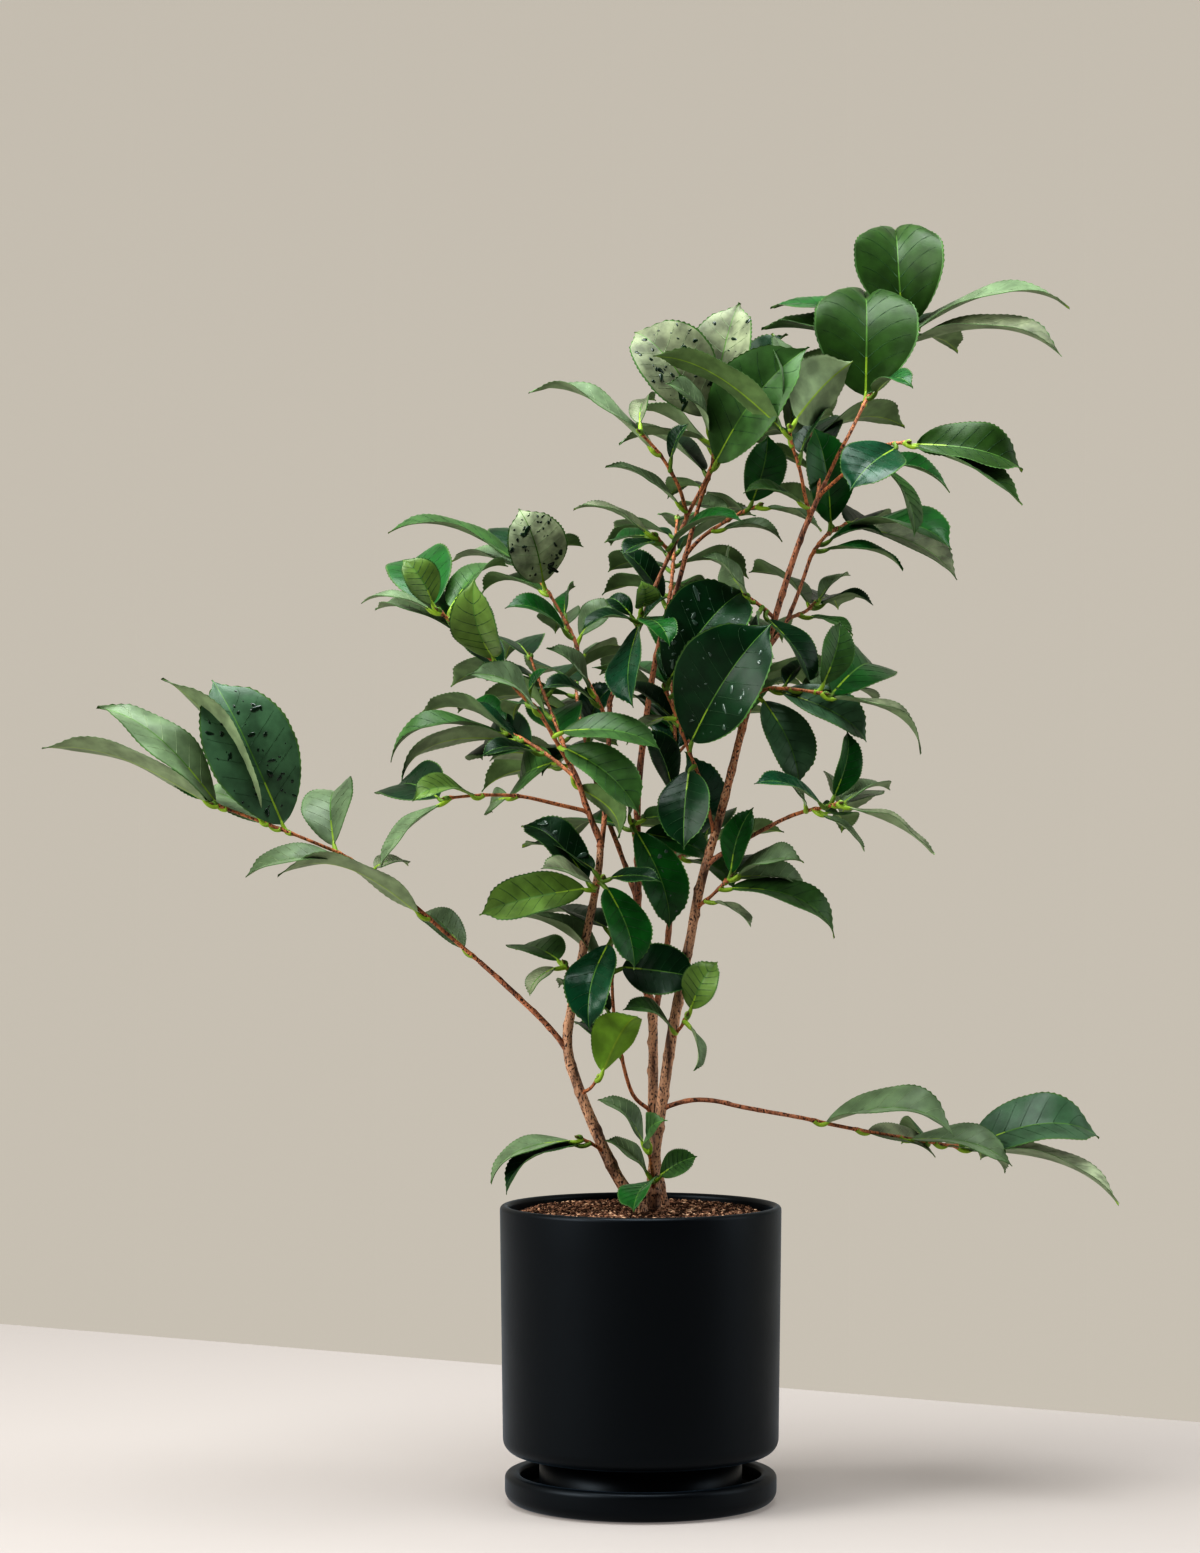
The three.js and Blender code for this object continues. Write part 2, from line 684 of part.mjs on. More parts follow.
const limbs = {};
for (const [name, { from, radius, points }] of Object.entries(LIMBS)) {
  const path = points.map(place);
  let facing = UP; // a stem stands on the soil, and is cut flat there
  if (from) {
    const seat = startOn(limbs[from[0]], from[1], path[0], radius[0]);
    path.unshift(seat.start);
    facing = seat.facing;
  } else {
    path[0].z = SOIL.top + GAP;
  }
  const line = smooth(path, LINE_STEPS);
  const flare = from ? 0 : 0.35; // stems widen where they meet the soil
  const radiusAt = (share) => mix(radius, share) * (1 + flare * Math.max(0, 1 - share * 14));
  const made = facing
    ? tube(line, radiusAt, from ? 6 : 8, facing, LIMB_RINGS)
    : seatedTube(line, radiusAt, 6, LIMB_RINGS, limbs[from[0]]);
  limbs[name] = { line, radiusAt, solid: made };
}

// ---- Leaves ---------------------------------------------------------------------------
// Points along a blade's midrib from (0, 0) to (1, 0), arched and turned down at the tip.
function midrib(curl, shares) {
  const STEPS = 40;
  const xs = [0];
  const zs = [0];
  for (let k = 0; k < STEPS; k++) {
    const s = (k + 0.5) / STEPS;
    const angle = radians(curl) * (0.4 - s * s);
    xs.push(xs[k] + Math.cos(angle) / STEPS);
    zs.push(zs[k] + Math.sin(angle) / STEPS);
  }
  const [ex, ez] = [xs[STEPS], zs[STEPS]];
  const size = ex * ex + ez * ez;
  return shares.map((share) => {
    const at = share * STEPS;
    const k = Math.min(Math.floor(at), STEPS - 1);
    const x = xs[k] + (xs[k + 1] - xs[k]) * (at - k);
    const z = zs[k] + (zs[k + 1] - zs[k]) * (at - k);
    return [(x * ex + z * ez) / size, (z * ex - x * ez) / size];
  });
}

// A blade's shape by rule, with the width and curl that are given instead.
function shapeBy(random, width, curl) {
  const [byWidth, fold, byCurl] = [LEAF.width, LEAF.fold, LEAF.curl].map(
    (range) => mix(range, random()));
  return { width: width ?? byWidth, fold: radians(fold), curl: curl ?? byCurl };
}

// Everything that fixes one leaf: where it starts, its blade's base, axes and shape.
function leafOn(at, tip, show, shape) {
  const heading = tip.clone().sub(at.point).normalize();
  const lead = heading.clone().multiplyScalar(0.8).addScaledVector(at.direction, 0.5);
  const base = at.point.clone().addScaledVector(lead.normalize(), LEAF.petiole);
  const chord = tip.clone().sub(base);
  const length = chord.length();
  chord.normalize();
  const wanted = UP.clone().multiplyScalar(0.85).addScaledVector(at.direction, 0.5);
  let normal;
  if (show === null) {
    normal = squareTo(wanted, chord);
  } else {
    const toFront = squareTo(FRONT, chord);
    const other = chord.clone().cross(toFront);
    if (other.dot(wanted) < 0) other.negate();
    normal = toFront.multiplyScalar(show);
    normal.addScaledVector(other, Math.sqrt(1 - show * show));
  }
  const across = chord.clone().cross(normal);
  return { start: at.point, base, chord, normal, across, length, ...shape };
}

// A point of a blade: share along it, share of the half width across it, lift off it.
function bladePoint(leaf, [x, z], halfWidth, lift) {
  const side = halfWidth * leaf.width * 0.5 * leaf.length;
  const rise = z * leaf.length + Math.abs(side) * Math.sin(leaf.fold) + lift;
  return leaf.base.clone()
    .addScaledVector(leaf.chord, x * leaf.length)
    .addScaledVector(leaf.across, side * Math.cos(leaf.fold))
    .addScaledVector(leaf.normal, rise);
}

const SAMPLE_SHARES = [0.1, 0.25, 0.4, 0.55, 0.7, 0.85, 1];
const SAMPLE_WIDTHS = [0.6, 0.85, 0.98, 0.92, 0.72, 0.4, 0];

// Points spread over a blade, to keep it clear of its neighbours.
function samplesOf(leaf) {
  const rib = midrib(leaf.curl, SAMPLE_SHARES);
  return rib.flatMap((at, k) => [-1, -0.5, 0, 0.5, 1].map(
    (side) => bladePoint(leaf, at, side * SAMPLE_WIDTHS[k], 0)));
}

// The least distance of a blade to other blades and to the wood, away from its own start.
function clearance(leaf, samples, blades, wood) {
  let least = 100;
  const own = 13 * 13;
  for (const p of samples) {
    if (p.distanceToSquared(leaf.start) < own) continue;
    for (const blade of blades) {
      if (blade.middle.distanceTo(p) > blade.reach + 8) continue;
      for (const q of blade.samples) least = Math.min(least, p.distanceTo(q));
    }
    for (const { point, radius } of wood) {
      least = Math.min(least, p.distanceTo(point) - radius);
    }
  }
  return least;
}

// The solid of one leaf: a four-sided stalk that widens into the folded blade.
function leafSolid(leaf) {
  const shares = [0, ...OUTLINE.map(([share]) => share), 1];
  const rib = midrib(leaf.curl, shares);
  const stalk = leaf.base.clone().sub(leaf.start).normalize();
  const side = squareTo(leaf.across, stalk);
  const top = side.clone().cross(stalk);
  const diamond = (centre, radius) => [
    centre.clone().addScaledVector(side, -radius),
    centre.clone().addScaledVector(top, radius),
    centre.clone().addScaledVector(side, radius),
    centre.clone().addScaledVector(top, -radius),
  ];
  const rings = [diamond(leaf.start, LEAF.petioleRadius)];
  const narrow = (2 * LEAF.petioleRadius) / (leaf.width * leaf.length);
  const half = LEAF.thick / 2;
  shares.forEach((_, k) => {
    if (k === shares.length - 1) {
      rings.push([bladePoint(leaf, rib[k], 0, 0)]);
      return;
    }
    const w = k === 0 ? narrow : OUTLINE[k - 1][1];
    rings.push([
      bladePoint(leaf, rib[k], -w, 0),
      bladePoint(leaf, rib[k], 0, half),
      bladePoint(leaf, rib[k], w, 0),
      bladePoint(leaf, rib[k], 0, -half),
    ]);
  });
  return loft(rings);
}

// ---- Masses ---------------------------------------------------------------------------
const blades = []; // every blade so far
const wood = []; // points of every limb and twig so far, each with a radius
function addWood(line, radiusAt) {
  const STEPS = 24;
  for (let k = 0; k <= STEPS; k++) {
    wood.push({ point: along(line, k / STEPS).point, radius: radiusAt(k / STEPS) });
  }
}
Object.values(limbs).forEach(({ line, radiusAt }) => addWood(line, radiusAt));

// The twigs of every mass come first, so that no leaf is put where one of them runs.
const masses = Object.entries(MASSES).map(([name, { from, twigs }], massIndex) => {
  const grown = [];
  for (const twig of twigs) {
    const first = grown.length === 0;
    const radius = first ? [1.5, 1] : [1.2, 0.9];
    const path = twig.path.map(place);
    const { start, facing } = first
      ? startOn(limbs[from[0]], from[1], path[0], radius[0])
      : { start: along(grown[0].line, twig.from).point, facing: null };
    const line = smooth([start, ...path], LINE_STEPS);
    const radiusAt = (share) => mix(radius, share);
    addWood(line, radiusAt);
    grown.push({ ...twig, line, radiusAt, facing });
  }
  return { name, grown, massIndex, parent: limbs[from[0]] };
});

// One leaf put on its twig where it has room, or nothing.
function settle(at, tip, show, shape, placed) {
  let best = null;
  for (const back of DEPTH_TRIES) {
    const moved = tip.clone().add(vec(0, back * SQUARE, 0));
    const leaf = leafOn(at, moved, show, shape);
    const samples = samplesOf(leaf);
    const clear = clearance(leaf, samples, blades, wood);
    if (!best || clear > best.clear + 1) best = { leaf, samples, clear };
    if (best.clear > KEEP_CLEAR) break;
  }
  if (best.clear < LEAST_CLEAR) return;
  const middle = best.samples[17];
  const reach = Math.max(...best.samples.map((p) => p.distanceTo(middle)));
  blades.push({ samples: best.samples, middle, reach });
  placed.push(best.leaf);
}

// The tip of a leaf placed by rule, on a spiral round the twig and towards a heading.
function ruledTip(at, index, heading, random) {
  const turn = radians(heading + 70 * Math.sin(radians(index * GOLDEN)) + 30 * (random() - 0.5));
  const out = vec(Math.cos(turn), Math.sin(turn), 0);
  const rise = 0.35 - 0.75 * random();
  out.addScaledVector(UP, rise).addScaledVector(at.direction, 0.35);
  const length = mix(LEAF.length, random()) + LEAF.petiole;
  return at.point.clone().addScaledVector(out.normalize(), length);
}

for (const mass of masses) {
  mass.grown.forEach((twig, twigIndex) => {
    twig.placed = [];
    const seed = 1000 * mass.massIndex + 100 * twigIndex;
    (twig.leaves ?? []).forEach(([share, right, back, up, show, width, curl], k) => {
      const at = along(twig.line, share);
      const shape = shapeBy(seeded(seed + k), width, curl);
      settle(at, place([right, back, up]), show, shape, twig.placed);
    });
  });
}
for (const mass of masses) {
  mass.grown.forEach((twig, twigIndex) => {
    const seed = 1000 * mass.massIndex + 100 * twigIndex + 50;
    const [count, heading] = twig.more ?? [0, 0];
    for (let k = 0; k < count; k++) {
      const random = seeded(seed + k);
      const at = along(twig.line, 1 - (0.85 * k) / Math.max(count, 4));
      const tip = ruledTip(at, k, heading, random);
      settle(at, tip, null, shapeBy(random), twig.placed);
    }
  });
}

// ---- Solids of the masses, each clear of the limbs and of the masses before it ----------
const others = Object.values(limbs).map((limb) => limb.solid);
const apart = (a, b) => {
  const [p, q] = [a.boundingBox(), b.boundingBox()];
  return [0, 1, 2].some((i) => p.min[i] > q.max[i] + GAP || q.min[i] > p.max[i] + GAP);
};
const touches = (piece, solids) => solids.some(
  (other) => !apart(piece, other) && piece.minGap(other, GAP) < GAP * 0.9);

const plant = new THREE.Group();
plant.name = "camellia_shrub";

const materials = {};
for (const [name, colour] of Object.entries(COLOURS)) {
  materials[name] = new THREE.MeshStandardMaterial({ name, color: colour, roughness: 0.6 });
}

function addNode(name, geometry, material) {
  const mesh = new THREE.Mesh(geometry, materials[material]);
  mesh.name = name;
  plant.add(mesh);
}

const twigSolids = masses.map(({ grown, parent }) => grown.map((twig, i) => (
  i || twig.facing
    ? tube(twig.line, twig.radiusAt, 4, twig.facing, TWIG_RINGS)
    : seatedTube(twig.line, twig.radiusAt, 4, TWIG_RINGS, parent))));
masses.forEach(({ name, grown }, index) => {
  const pieces = [...twigSolids[index]];
  const later = twigSolids.slice(index + 1).flat();
  for (const twig of grown) {
    for (const leaf of twig.placed) {
      const piece = leafSolid(leaf);
      if (!touches(piece, [...others, ...later])) pieces.push(piece);
    }
  }
  // Where blades cross, a crumb of air can be shut in: the mass is its outer surface alone.
  const bodies = wasm.Manifold.union(pieces).simplify(0.1).decompose();
  const mass = bodies.reduce((a, b) => (b.volume() > a.volume() ? b : a));
  others.push(mass);
  addNode(name, geometryOf(mass), "leaves");
});

for (const [name, limb] of Object.entries(limbs)) {
  addNode(name, geometryOf(limb.solid), name.startsWith("stem") ? "stem" : "bough");
}

// ---- Pot, saucer and soil ---------------------------------------------------------------
const footUnderside = SAUCER.floor + GAP;
const lip = POT.wall / 2;
const innerRadius = POT.rimRadius - POT.wall;
const potFloor = POT.bodyUnderside + POT.floor;
addNode("pot", turned([
  [0, footUnderside],
  [POT.footRadius, footUnderside],
  [POT.footRadius, POT.bodyUnderside],
  ...round([POT.bodyRadius - POT.bottomRound, POT.bodyUnderside + POT.bottomRound],
    POT.bottomRound, -90, 0, 3),
  ...round([POT.rimRadius - lip, POT.rimHeight - lip], lip, 0, 180, 4),
  [innerRadius, potFloor],
  [0, potFloor],
]), "pot");

const crest = SAUCER.radius - SAUCER.crestRadius;
addNode("saucer", turned([
  [0, 0],
  ...round([SAUCER.radius - SAUCER.bottomRound, SAUCER.bottomRound],
    SAUCER.bottomRound, -90, 0, 3),
  ...round([SAUCER.crestRadius, SAUCER.height - crest], crest, 0, 90, 3),
  [SAUCER.wellRadius + 1.5, SAUCER.height - 1.5],
  [SAUCER.wellRadius, SAUCER.height - 4],
  [SAUCER.wellRadius - 1, SAUCER.floor],
  [0, SAUCER.floor],
]), "saucer");

const soilRadius = innerRadius - GAP;
addNode("soil", turned([
  [0, potFloor + GAP],
  [soilRadius, potFloor + GAP],
  [soilRadius, SOIL.edgeHeight],
  [SOIL.shoulderRadius, SOIL.top],
  [0, SOIL.top],
]), "soil");

export default plant;
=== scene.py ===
"""Camellia shrub in its round black pot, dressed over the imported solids.

The plant is grown by the same named sizes and the same seeded rule as its solids, in
millimetres, and then given finer leaves, bark, buds, drops of water, peat and glaze. A few
leaves stand here that the solids leave out, because there they would touch a neighbour.
"""

import math
from types import SimpleNamespace

import bpy
import numpy as np
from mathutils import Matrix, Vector, noise


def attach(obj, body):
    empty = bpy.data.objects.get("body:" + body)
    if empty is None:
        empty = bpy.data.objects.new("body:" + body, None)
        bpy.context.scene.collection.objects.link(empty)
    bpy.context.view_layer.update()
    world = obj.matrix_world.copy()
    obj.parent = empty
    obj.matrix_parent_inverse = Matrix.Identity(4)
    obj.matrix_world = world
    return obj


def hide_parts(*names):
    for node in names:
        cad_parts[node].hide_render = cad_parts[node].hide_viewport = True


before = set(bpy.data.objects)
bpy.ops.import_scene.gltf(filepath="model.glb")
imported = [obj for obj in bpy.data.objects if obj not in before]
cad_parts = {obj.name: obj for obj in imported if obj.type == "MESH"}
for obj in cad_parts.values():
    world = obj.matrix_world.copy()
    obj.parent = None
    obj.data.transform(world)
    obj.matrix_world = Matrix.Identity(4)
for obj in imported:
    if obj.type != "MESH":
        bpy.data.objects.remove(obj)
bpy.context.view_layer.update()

# ---- Sizes, in millimetres --------------------------------------------------------------
POT = dict(
    rim_radius=101.5, body_radius=99.3, wall=6.5, rim_height=212.5,
    body_underside=34.8, bottom_round=11, foot_radius=73, floor=8,
)
SAUCER = dict(
    radius=97.8, height=21.3, crest_radius=93.4, well_radius=86.5, floor=6, bottom_round=9,
)
SOIL = dict(top=209, shoulder_radius=80, edge_height=201)
GAP = 0.3

SQUARE = 0.7225  # the plant is laid out in squares of this size: [right, back, up]
LAYOUT_LOW = 2.8  # the layout's lowest line lies this far below the origin
SOIL_UP = 288  # in squares, where the stems leave the soil
LINE_STEPS = 4  # pieces of a limb's line from one given point to the next
FLARE = 0.35  # how much a stem widens at its foot

LEAF = dict(
    petiole=9, width=(0.46, 0.6), fold=(12, 28), curl=(34, 76), length=(56, 84),
)
KEEP_CLEAR = 5  # mm of room that a leaf looks for between its samples and its neighbours
LEAST_CLEAR = 1.6  # mm; a leaf with less is left out
DEPTH_TRIES = (0, 10, -10, 20, -20, 32, -32)  # squares that a leaf may move back to find room
GOLDEN = 137.5  # degrees from one leaf to the next round a twig
FINER = 2  # leaves of finer growth tried for every leaf placed by rule
FINER_CLEAR = dict(wanted=7, least=5)  # mm of room for a finer leaf
RULED, FINEST = 50, 80  # the numbers of a twig's ruled and finer leaves start here
MOST_FACES = 76500  # quads after which a new piece of foliage is begun

# The stems and boughs. Each has what it grows on and the height there, in squares, or its tip,
# then its own radius at the foot and at the tip, and the points that it runs through.
LIMBS = {
    "stem_left": dict(radius=(4.5, 2.5), points=[
        (0, -22, SOIL_UP), (-29, -20, 338), (-60, -18, 411), (-73, -15, 457), (-66, -13, 508),
        (-44, -12, 618), (-40, -12, 659),
    ]),
    "stem_middle": dict(radius=(4.3, 3.2), points=[
        (23, 42, SOIL_UP), (14, 40, 350), (13, 38, 406), (13, 36, 469), (11, 34, 498),
    ]),
    "stem_right": dict(radius=(4.4, 1.8), points=[
        (13, 4, SOIL_UP), (14, 3, 344), (24, 0, 418), (36, -2, 495), (50, -4, 566), (60, -6, 618),
        (80, -8, 688), (103, -10, 779), (125, -10, 852), (145, -10, 919), (163, -10, 971),
        (185, -10, 1020),
    ]),
    "bough_left_low": dict(on=("stem_left", 452), radius=(2.1, 1.7), points=[
        (-97, -19, 482), (-139, -22, 522), (-160, -24, 541),
    ]),
    "bough_right_low": dict(on=("stem_right", 394), radius=(1.7, 1.4), points=[
        (48, -4, 402), (72, -4, 402), (103, 0, 395), (161, 8, 384),
    ]),
    "bough_upper_left": dict(on=("stem_left", "tip"), radius=(2.2, 1.8), points=[
        (-49, -16, 682), (-57, -18, 704), (-65, -20, 727), (-71, -22, 736),
    ]),
    "bough_centre": dict(on=("stem_left", 640), radius=(2, 1.7), points=[
        (-36, 6, 685), (-34, 12, 730), (-31, 14, 771), (-31, 14, 800),
    ]),
    "bough_centre_high": dict(on=("bough_centre", "tip"), radius=(1.7, 1.4), points=[
        (-16, 12, 841), (-2, 10, 873), (15, 8, 917), (36, 6, 962), (51, 4, 995),
    ]),
    "bough_middle": dict(on=("stem_middle", "tip"), radius=(3, 1.6), points=[
        (-3, 36, 545), (-2, 38, 622), (-2, 38, 712), (10, 36, 812), (22, 34, 871), (40, 32, 926),
        (55, 30, 986),
    ]),
    "bough_back": dict(on=("stem_middle", 478), radius=(2.5, 1.7), points=[
        (26, 66, 540), (34, 84, 620), (36, 96, 700),
    ]),
    "bough_back_left": dict(on=("bough_middle", 600), radius=(2, 1.5), points=[
        (-20, 72, 650), (-40, 100, 705), (-52, 118, 752),
    ]),
    "bough_right_middle": dict(on=("stem_right", 634), radius=(1.7, 1.3), points=[
        (84, -14, 650), (100, -16, 660), (133, -18, 678), (150, -18, 686),
    ]),
    "bough_right_high": dict(on=("stem_right", 846), radius=(1.6, 1.3), points=[
        (146, 10, 880), (158, 14, 908), (171, 14, 946),
    ]),
}

# The masses of twigs and leaves. Each has the limb that it grows on, the height there or its
# tip, and its twigs. A second twig starts at a share of the first one's length. A leaf's are its
# share along the twig, its tip's [right, back, up], and how far it faces the front: 1 shows its
# whole upper side, 0 its edge, and less its underside. Its width, as a share of its length, and
# its curl in degrees may follow. "more" is how many leaves come by rule, and their heading.
MASSES = {
    "leaves_left_low": dict(on=("bough_left_low", "tip"), twigs=[
        dict(path=[(-196, -36, 572), (-231, -49, 603), (-285, -61, 642), (-318, -71, 658),
                 (-365, -84, 677), (-413, -96, 695)],
             leaves=[(1, -583, -106, 751, -0.3, 0.34), (0.97, -535, -70, 791, 0.6, 0.36),
                 (0.83, -467, -103, 819, -0.4, 0.34), (0.75, -422, -66, 819, 0.95, 0.58),
                 (0.54, -388, -93, 625, 0.35), (0.58, -300, 14, 707, 0.9, 0.7, 95),
                 (0.45, -232, -8, 636, 0.3), (0.22, -355, -58, 627, -0.3, 0.34),
                 (0.03, -222, 32, 588, 0.7)],
             more=(2, 100)),
    ]),
    "leaves_right_low": dict(on=("bough_right_low", "tip"), twigs=[
        dict(path=[(209, 18, 373), (278, 34, 360), (321, 48, 352)],
             leaves=[(0.08, 311, -20, 369, 0.4, 0.46, 80), (0.35, 300, 84, 340, 0.3),
                 (0.62, 371, 0, 336, 0.4), (1, 466, 60, 360, 0.6, 0.56), (1, 478, 26, 297, 0.12),
                 (0.85, 374, 92, 322, 0.2)],
             more=(2, 80)),
    ]),
    "leaves_pot_left": dict(on=("stem_left", 352), twigs=[
        dict(path=[(-50, -34, 362), (-58, -38, 366)],
             leaves=[(1, -148, -46, 323, 0.35, 0.4, 85), (0.6, -133, -78, 314, 0.3, 0.42, 80)]),
    ]),
    "leaves_pot_front": dict(on=("stem_right", 312), twigs=[
        dict(path=[(12, -16, 328), (8, -26, 352)],
             leaves=[(0.2, -36, -66, 364, 0.4), (0.1, 56, -44, 348, 0.85, 0.7),
                 (1, -43, -30, 404, 0.5), (1, 24, -84, 388, 0.4), (0.15, -8, -96, 300, 0.5)]),
    ]),
    "leaves_foot_left": dict(on=("stem_left", 408), twigs=[
        dict(path=[(-50, -32, 416), (-44, -38, 424)],
             leaves=[(1, -4, -74, 489, -0.85, 0.72)]),
    ]),
    "leaves_bend_left": dict(on=("stem_left", 510), twigs=[
        dict(path=[(-70, -26, 528), (-74, -30, 536)],
             leaves=[(1, -110, -44, 508, 0.6, 0.6, 80)],
             more=(1, 100)),
    ]),
    "leaves_foot_right": dict(on=("stem_right", 462), twigs=[
        dict(path=[(40, -20, 476), (44, -24, 484)],
             leaves=[(0.1, -18, -52, 494, 0.35), (1, 76, -30, 541, 0.9, 0.74, 75),
                 (0.9, 52, -46, 434, 0.35)]),
    ]),
    "leaves_inner": dict(on=("stem_middle", 386), twigs=[
        dict(path=[(-8, 20, 407), (-19, 8, 445), (-27, 0, 492), (-29, -6, 547), (-29, -8, 567)],
             leaves=[(0.97, -51, -40, 475, 0.9, 0.58), (0.8, 56, -4, 524, 0.9, 0.76)],
             more=(2, 130)),
    ]),
    "leaves_middle_left": dict(on=("stem_left", 606), twigs=[
        dict(path=[(-45, -30, 616), (-40, -38, 622)],
             leaves=[(0.3, -160, -32, 587, 0.85, 0.5), (0.2, -119, 0, 676, 0.75, 0.56),
                 (0.9, -7, -60, 534, 0.85), (1, 20, -66, 620, 0.6), (0.5, -98, -70, 634, 0.4)],
             more=(1, 150)),
    ]),
    "leaves_core_low": dict(on=("bough_middle", 650), twigs=[
        dict(path=[(-6, 16, 664), (-8, -4, 678)],
             leaves=[(1, 28, -46, 574, 0.9, 0.52), (0.6, 72, -10, 640, 0.7),
                 (1, -34, -44, 730, 0.5)],
             more=(2, 60)),
    ]),
    "leaves_right_side": dict(on=("stem_right", 592), twigs=[
        dict(path=[(70, -20, 606), (86, -24, 622)],
             leaves=[(0.2, 108, -50, 576, 0.3), (0.7, 192, -30, 565, 0.55, 0.4, 85),
                 (1, 169, 4, 612, 0.45), (1, 160, -56, 640, 0.4), (0.9, 112, -30, 694, 0.8)],
             more=(1, 90)),
    ]),
    "leaves_right_middle": dict(on=("bough_right_middle", "tip"), twigs=[
        dict(path=[(165, -40, 691), (176, -62, 693), (192, -84, 697)],
             leaves=[(0.5, 219, -64, 650, 0.3, 0.4), (1, 285, -94, 646, 0.15, 0.36),
                 (0.8, 203, -54, 769, 0.8, 0.5), (0.9, 247, -44, 711, 0.25),
                 (0.3, 139, -78, 720, 0.4)],
             more=(2, 90)),
    ]),
    "leaves_middle_left_arm": dict(on=("bough_upper_left", 690), twigs=[
        dict(path=[(-82, -28, 697), (-119, -43, 705), (-155, -58, 706), (-188, -74, 703)],
             leaves=[(0.75, -222, -90, 699, 0.5), (1, -255, -74, 634, 0.3),
                 (0.5, -149, 13, 690, 0.5)],
             more=(1, 100)),
    ]),
    "leaves_upper_left": dict(on=("bough_upper_left", "tip"), twigs=[
        dict(path=[(-82, -40, 756), (-103, -56, 791), (-118, -72, 804), (-149, -86, 840),
                 (-173, -100, 864), (-195, -114, 882)],
             leaves=[(0.12, -2, -80, 686, 0.85), (0.18, 19, -65, 750, 0.55),
                 (0.3, -168, -132, 820, 0.6, 0.38, 60), (0.62, -161, -108, 915, 0.9, 0.58),
                 (0.7, -176, -49, 906, 0.6), (1, -232, -120, 933, 0.9, 0.76, 70),
                 (1, -273, -134, 892, 0.25, 0.36), (0.9, -228, -66, 909, 0.3),
                 (0.4, -92, -104, 830, 0.5)],
             more=(2, 100)),
    ]),
    "leaves_left_side": dict(on=("bough_upper_left", 722), twigs=[
        dict(path=[(-86, 15, 742), (-113, 43, 761), (-133, 64, 772)],
             leaves=[(1, -253, 56, 741, 0.35, 0.36, 100), (0.85, -240, 14, 717, -0.3, 0.36, 90),
                 (0.6, -163, 112, 746, 0.6), (0.5, -159, -12, 745, 0.5),
                 (0.3, -120, 77, 716, 0.5), (0.03, -24, -56, 662, -0.5, 0.6, 85)],
             more=(2, 120)),
    ]),
    "leaves_centre_left": dict(on=("bough_centre", 776), twigs=[
        dict(path=[(-46, 20, 809), (-60, 31, 837), (-66, 43, 864), (-90, 56, 909),
                 (-115, 68, 941)],
             leaves=[(0.8, -123, 34, 997, 0.95, 0.84, 85), (1, -257, 72, 975, 0.25, 0.36),
                 (0.95, -193, 102, 949, 0.25), (0.5, -136, 46, 895, 0.5),
                 (0.12, -94, -31, 852, 0.5), (0.06, -98, -58, 812, 0.4),
                 (0.45, -24, 66, 902, 0.85), (0.6, -66, 103, 923, 0.4)],
             more=(2, 80)),
    ]),
    "leaves_centre": dict(on=("bough_centre_high", 868), twigs=[
        dict(path=[(-2, -6, 880), (0, -18, 886)],
             leaves=[(1, 0, -50, 918, 0.9, 0.85, 100), (0.8, 28, -74, 852, 0.8),
                 (0.5, -8, -64, 792, 0.6), (0.6, -58, -50, 870, 0.4),
                 (0.3, -32, 14, 904, 0.85, 0.7, 85), (0.2, 26, -20, 904, 0.4)]),
    ]),
    "leaves_core_right": dict(on=("stem_right", 666), twigs=[
        dict(path=[(62, -26, 714), (48, -34, 749), (35, -38, 783), (25, -40, 809)],
             leaves=[(0.55, 128, -56, 874, 0.95, 0.68, 60), (1, 105, -36, 910, 0.95, 0.74, 75),
                 (0.45, 42, -72, 652, 0.95, 0.66), (0.8, -14, -66, 756, 0.5),
                 (0.7, 80, -10, 784, 0.5)],
             more=(1, 60)),
    ]),
    "leaves_right_upper": dict(on=("stem_right", 800), twigs=[
        dict(path=[(123, -33, 811), (149, -49, 811), (178, -62, 806)],
             leaves=[(0.1, 156, -60, 716, 0.9, 0.6), (0.35, 223, -64, 759, 0.8, 0.5),
                 (1, 275, -70, 747, 0.2, 0.32, 80), (0.9, 196, -44, 878, 0.9, 0.54),
                 (0.4, 171, 4, 837, 0.5), (0.6, 238, -4, 799, 0.4)],
             more=(1, 90)),
    ]),
    "leaves_right_high": dict(on=("bough_right_high", "tip"), twigs=[
        dict(path=[(188, 40, 970), (210, 66, 984)],
             leaves=[(1, 322, 52, 926, 0.6, 0.46), (0.8, 309, 5, 950, 0.4),
                 (0.15, 264, 12, 933, 0.3, 0.4), (0.6, 174, 30, 1080, 0.9, 0.6),
                 (0.3, 247, 57, 969, 0.3)],
             more=(1, 80)),
    ]),
    "leaves_right_inner": dict(on=("bough_right_high", 884), twigs=[
        dict(path=[(167, 40, 893), (178, 62, 903)],
             leaves=[(0.8, 236, 42, 900, 0.2), (0.3, 213, 6, 867, 0.4), (0.9, 216, 86, 933, 0.4)],
             more=(2, 90)),
    ]),
    "leaves_centre_right": dict(on=("stem_right", 880), twigs=[
        dict(path=[(120, -24, 894), (108, -30, 902)],
             leaves=[(0.8, 61, -52, 942, 0.4), (1, 91, -10, 956, 0.4), (0.3, 168, -40, 812, 0.55),
                 (0.5, 130, -66, 840, 0.4)]),
    ]),
    "leaves_centre_high": dict(on=("bough_centre_high", 950), twigs=[
        dict(path=[(22, -4, 958), (16, -12, 964)],
             leaves=[(1, -67, -8, 992, 0.3, 0.34), (0.6, -18, -44, 944, 0.6),
                 (0.1, 101, -30, 976, 0.3), (0.9, -30, 30, 960, 0.4)]),
    ]),
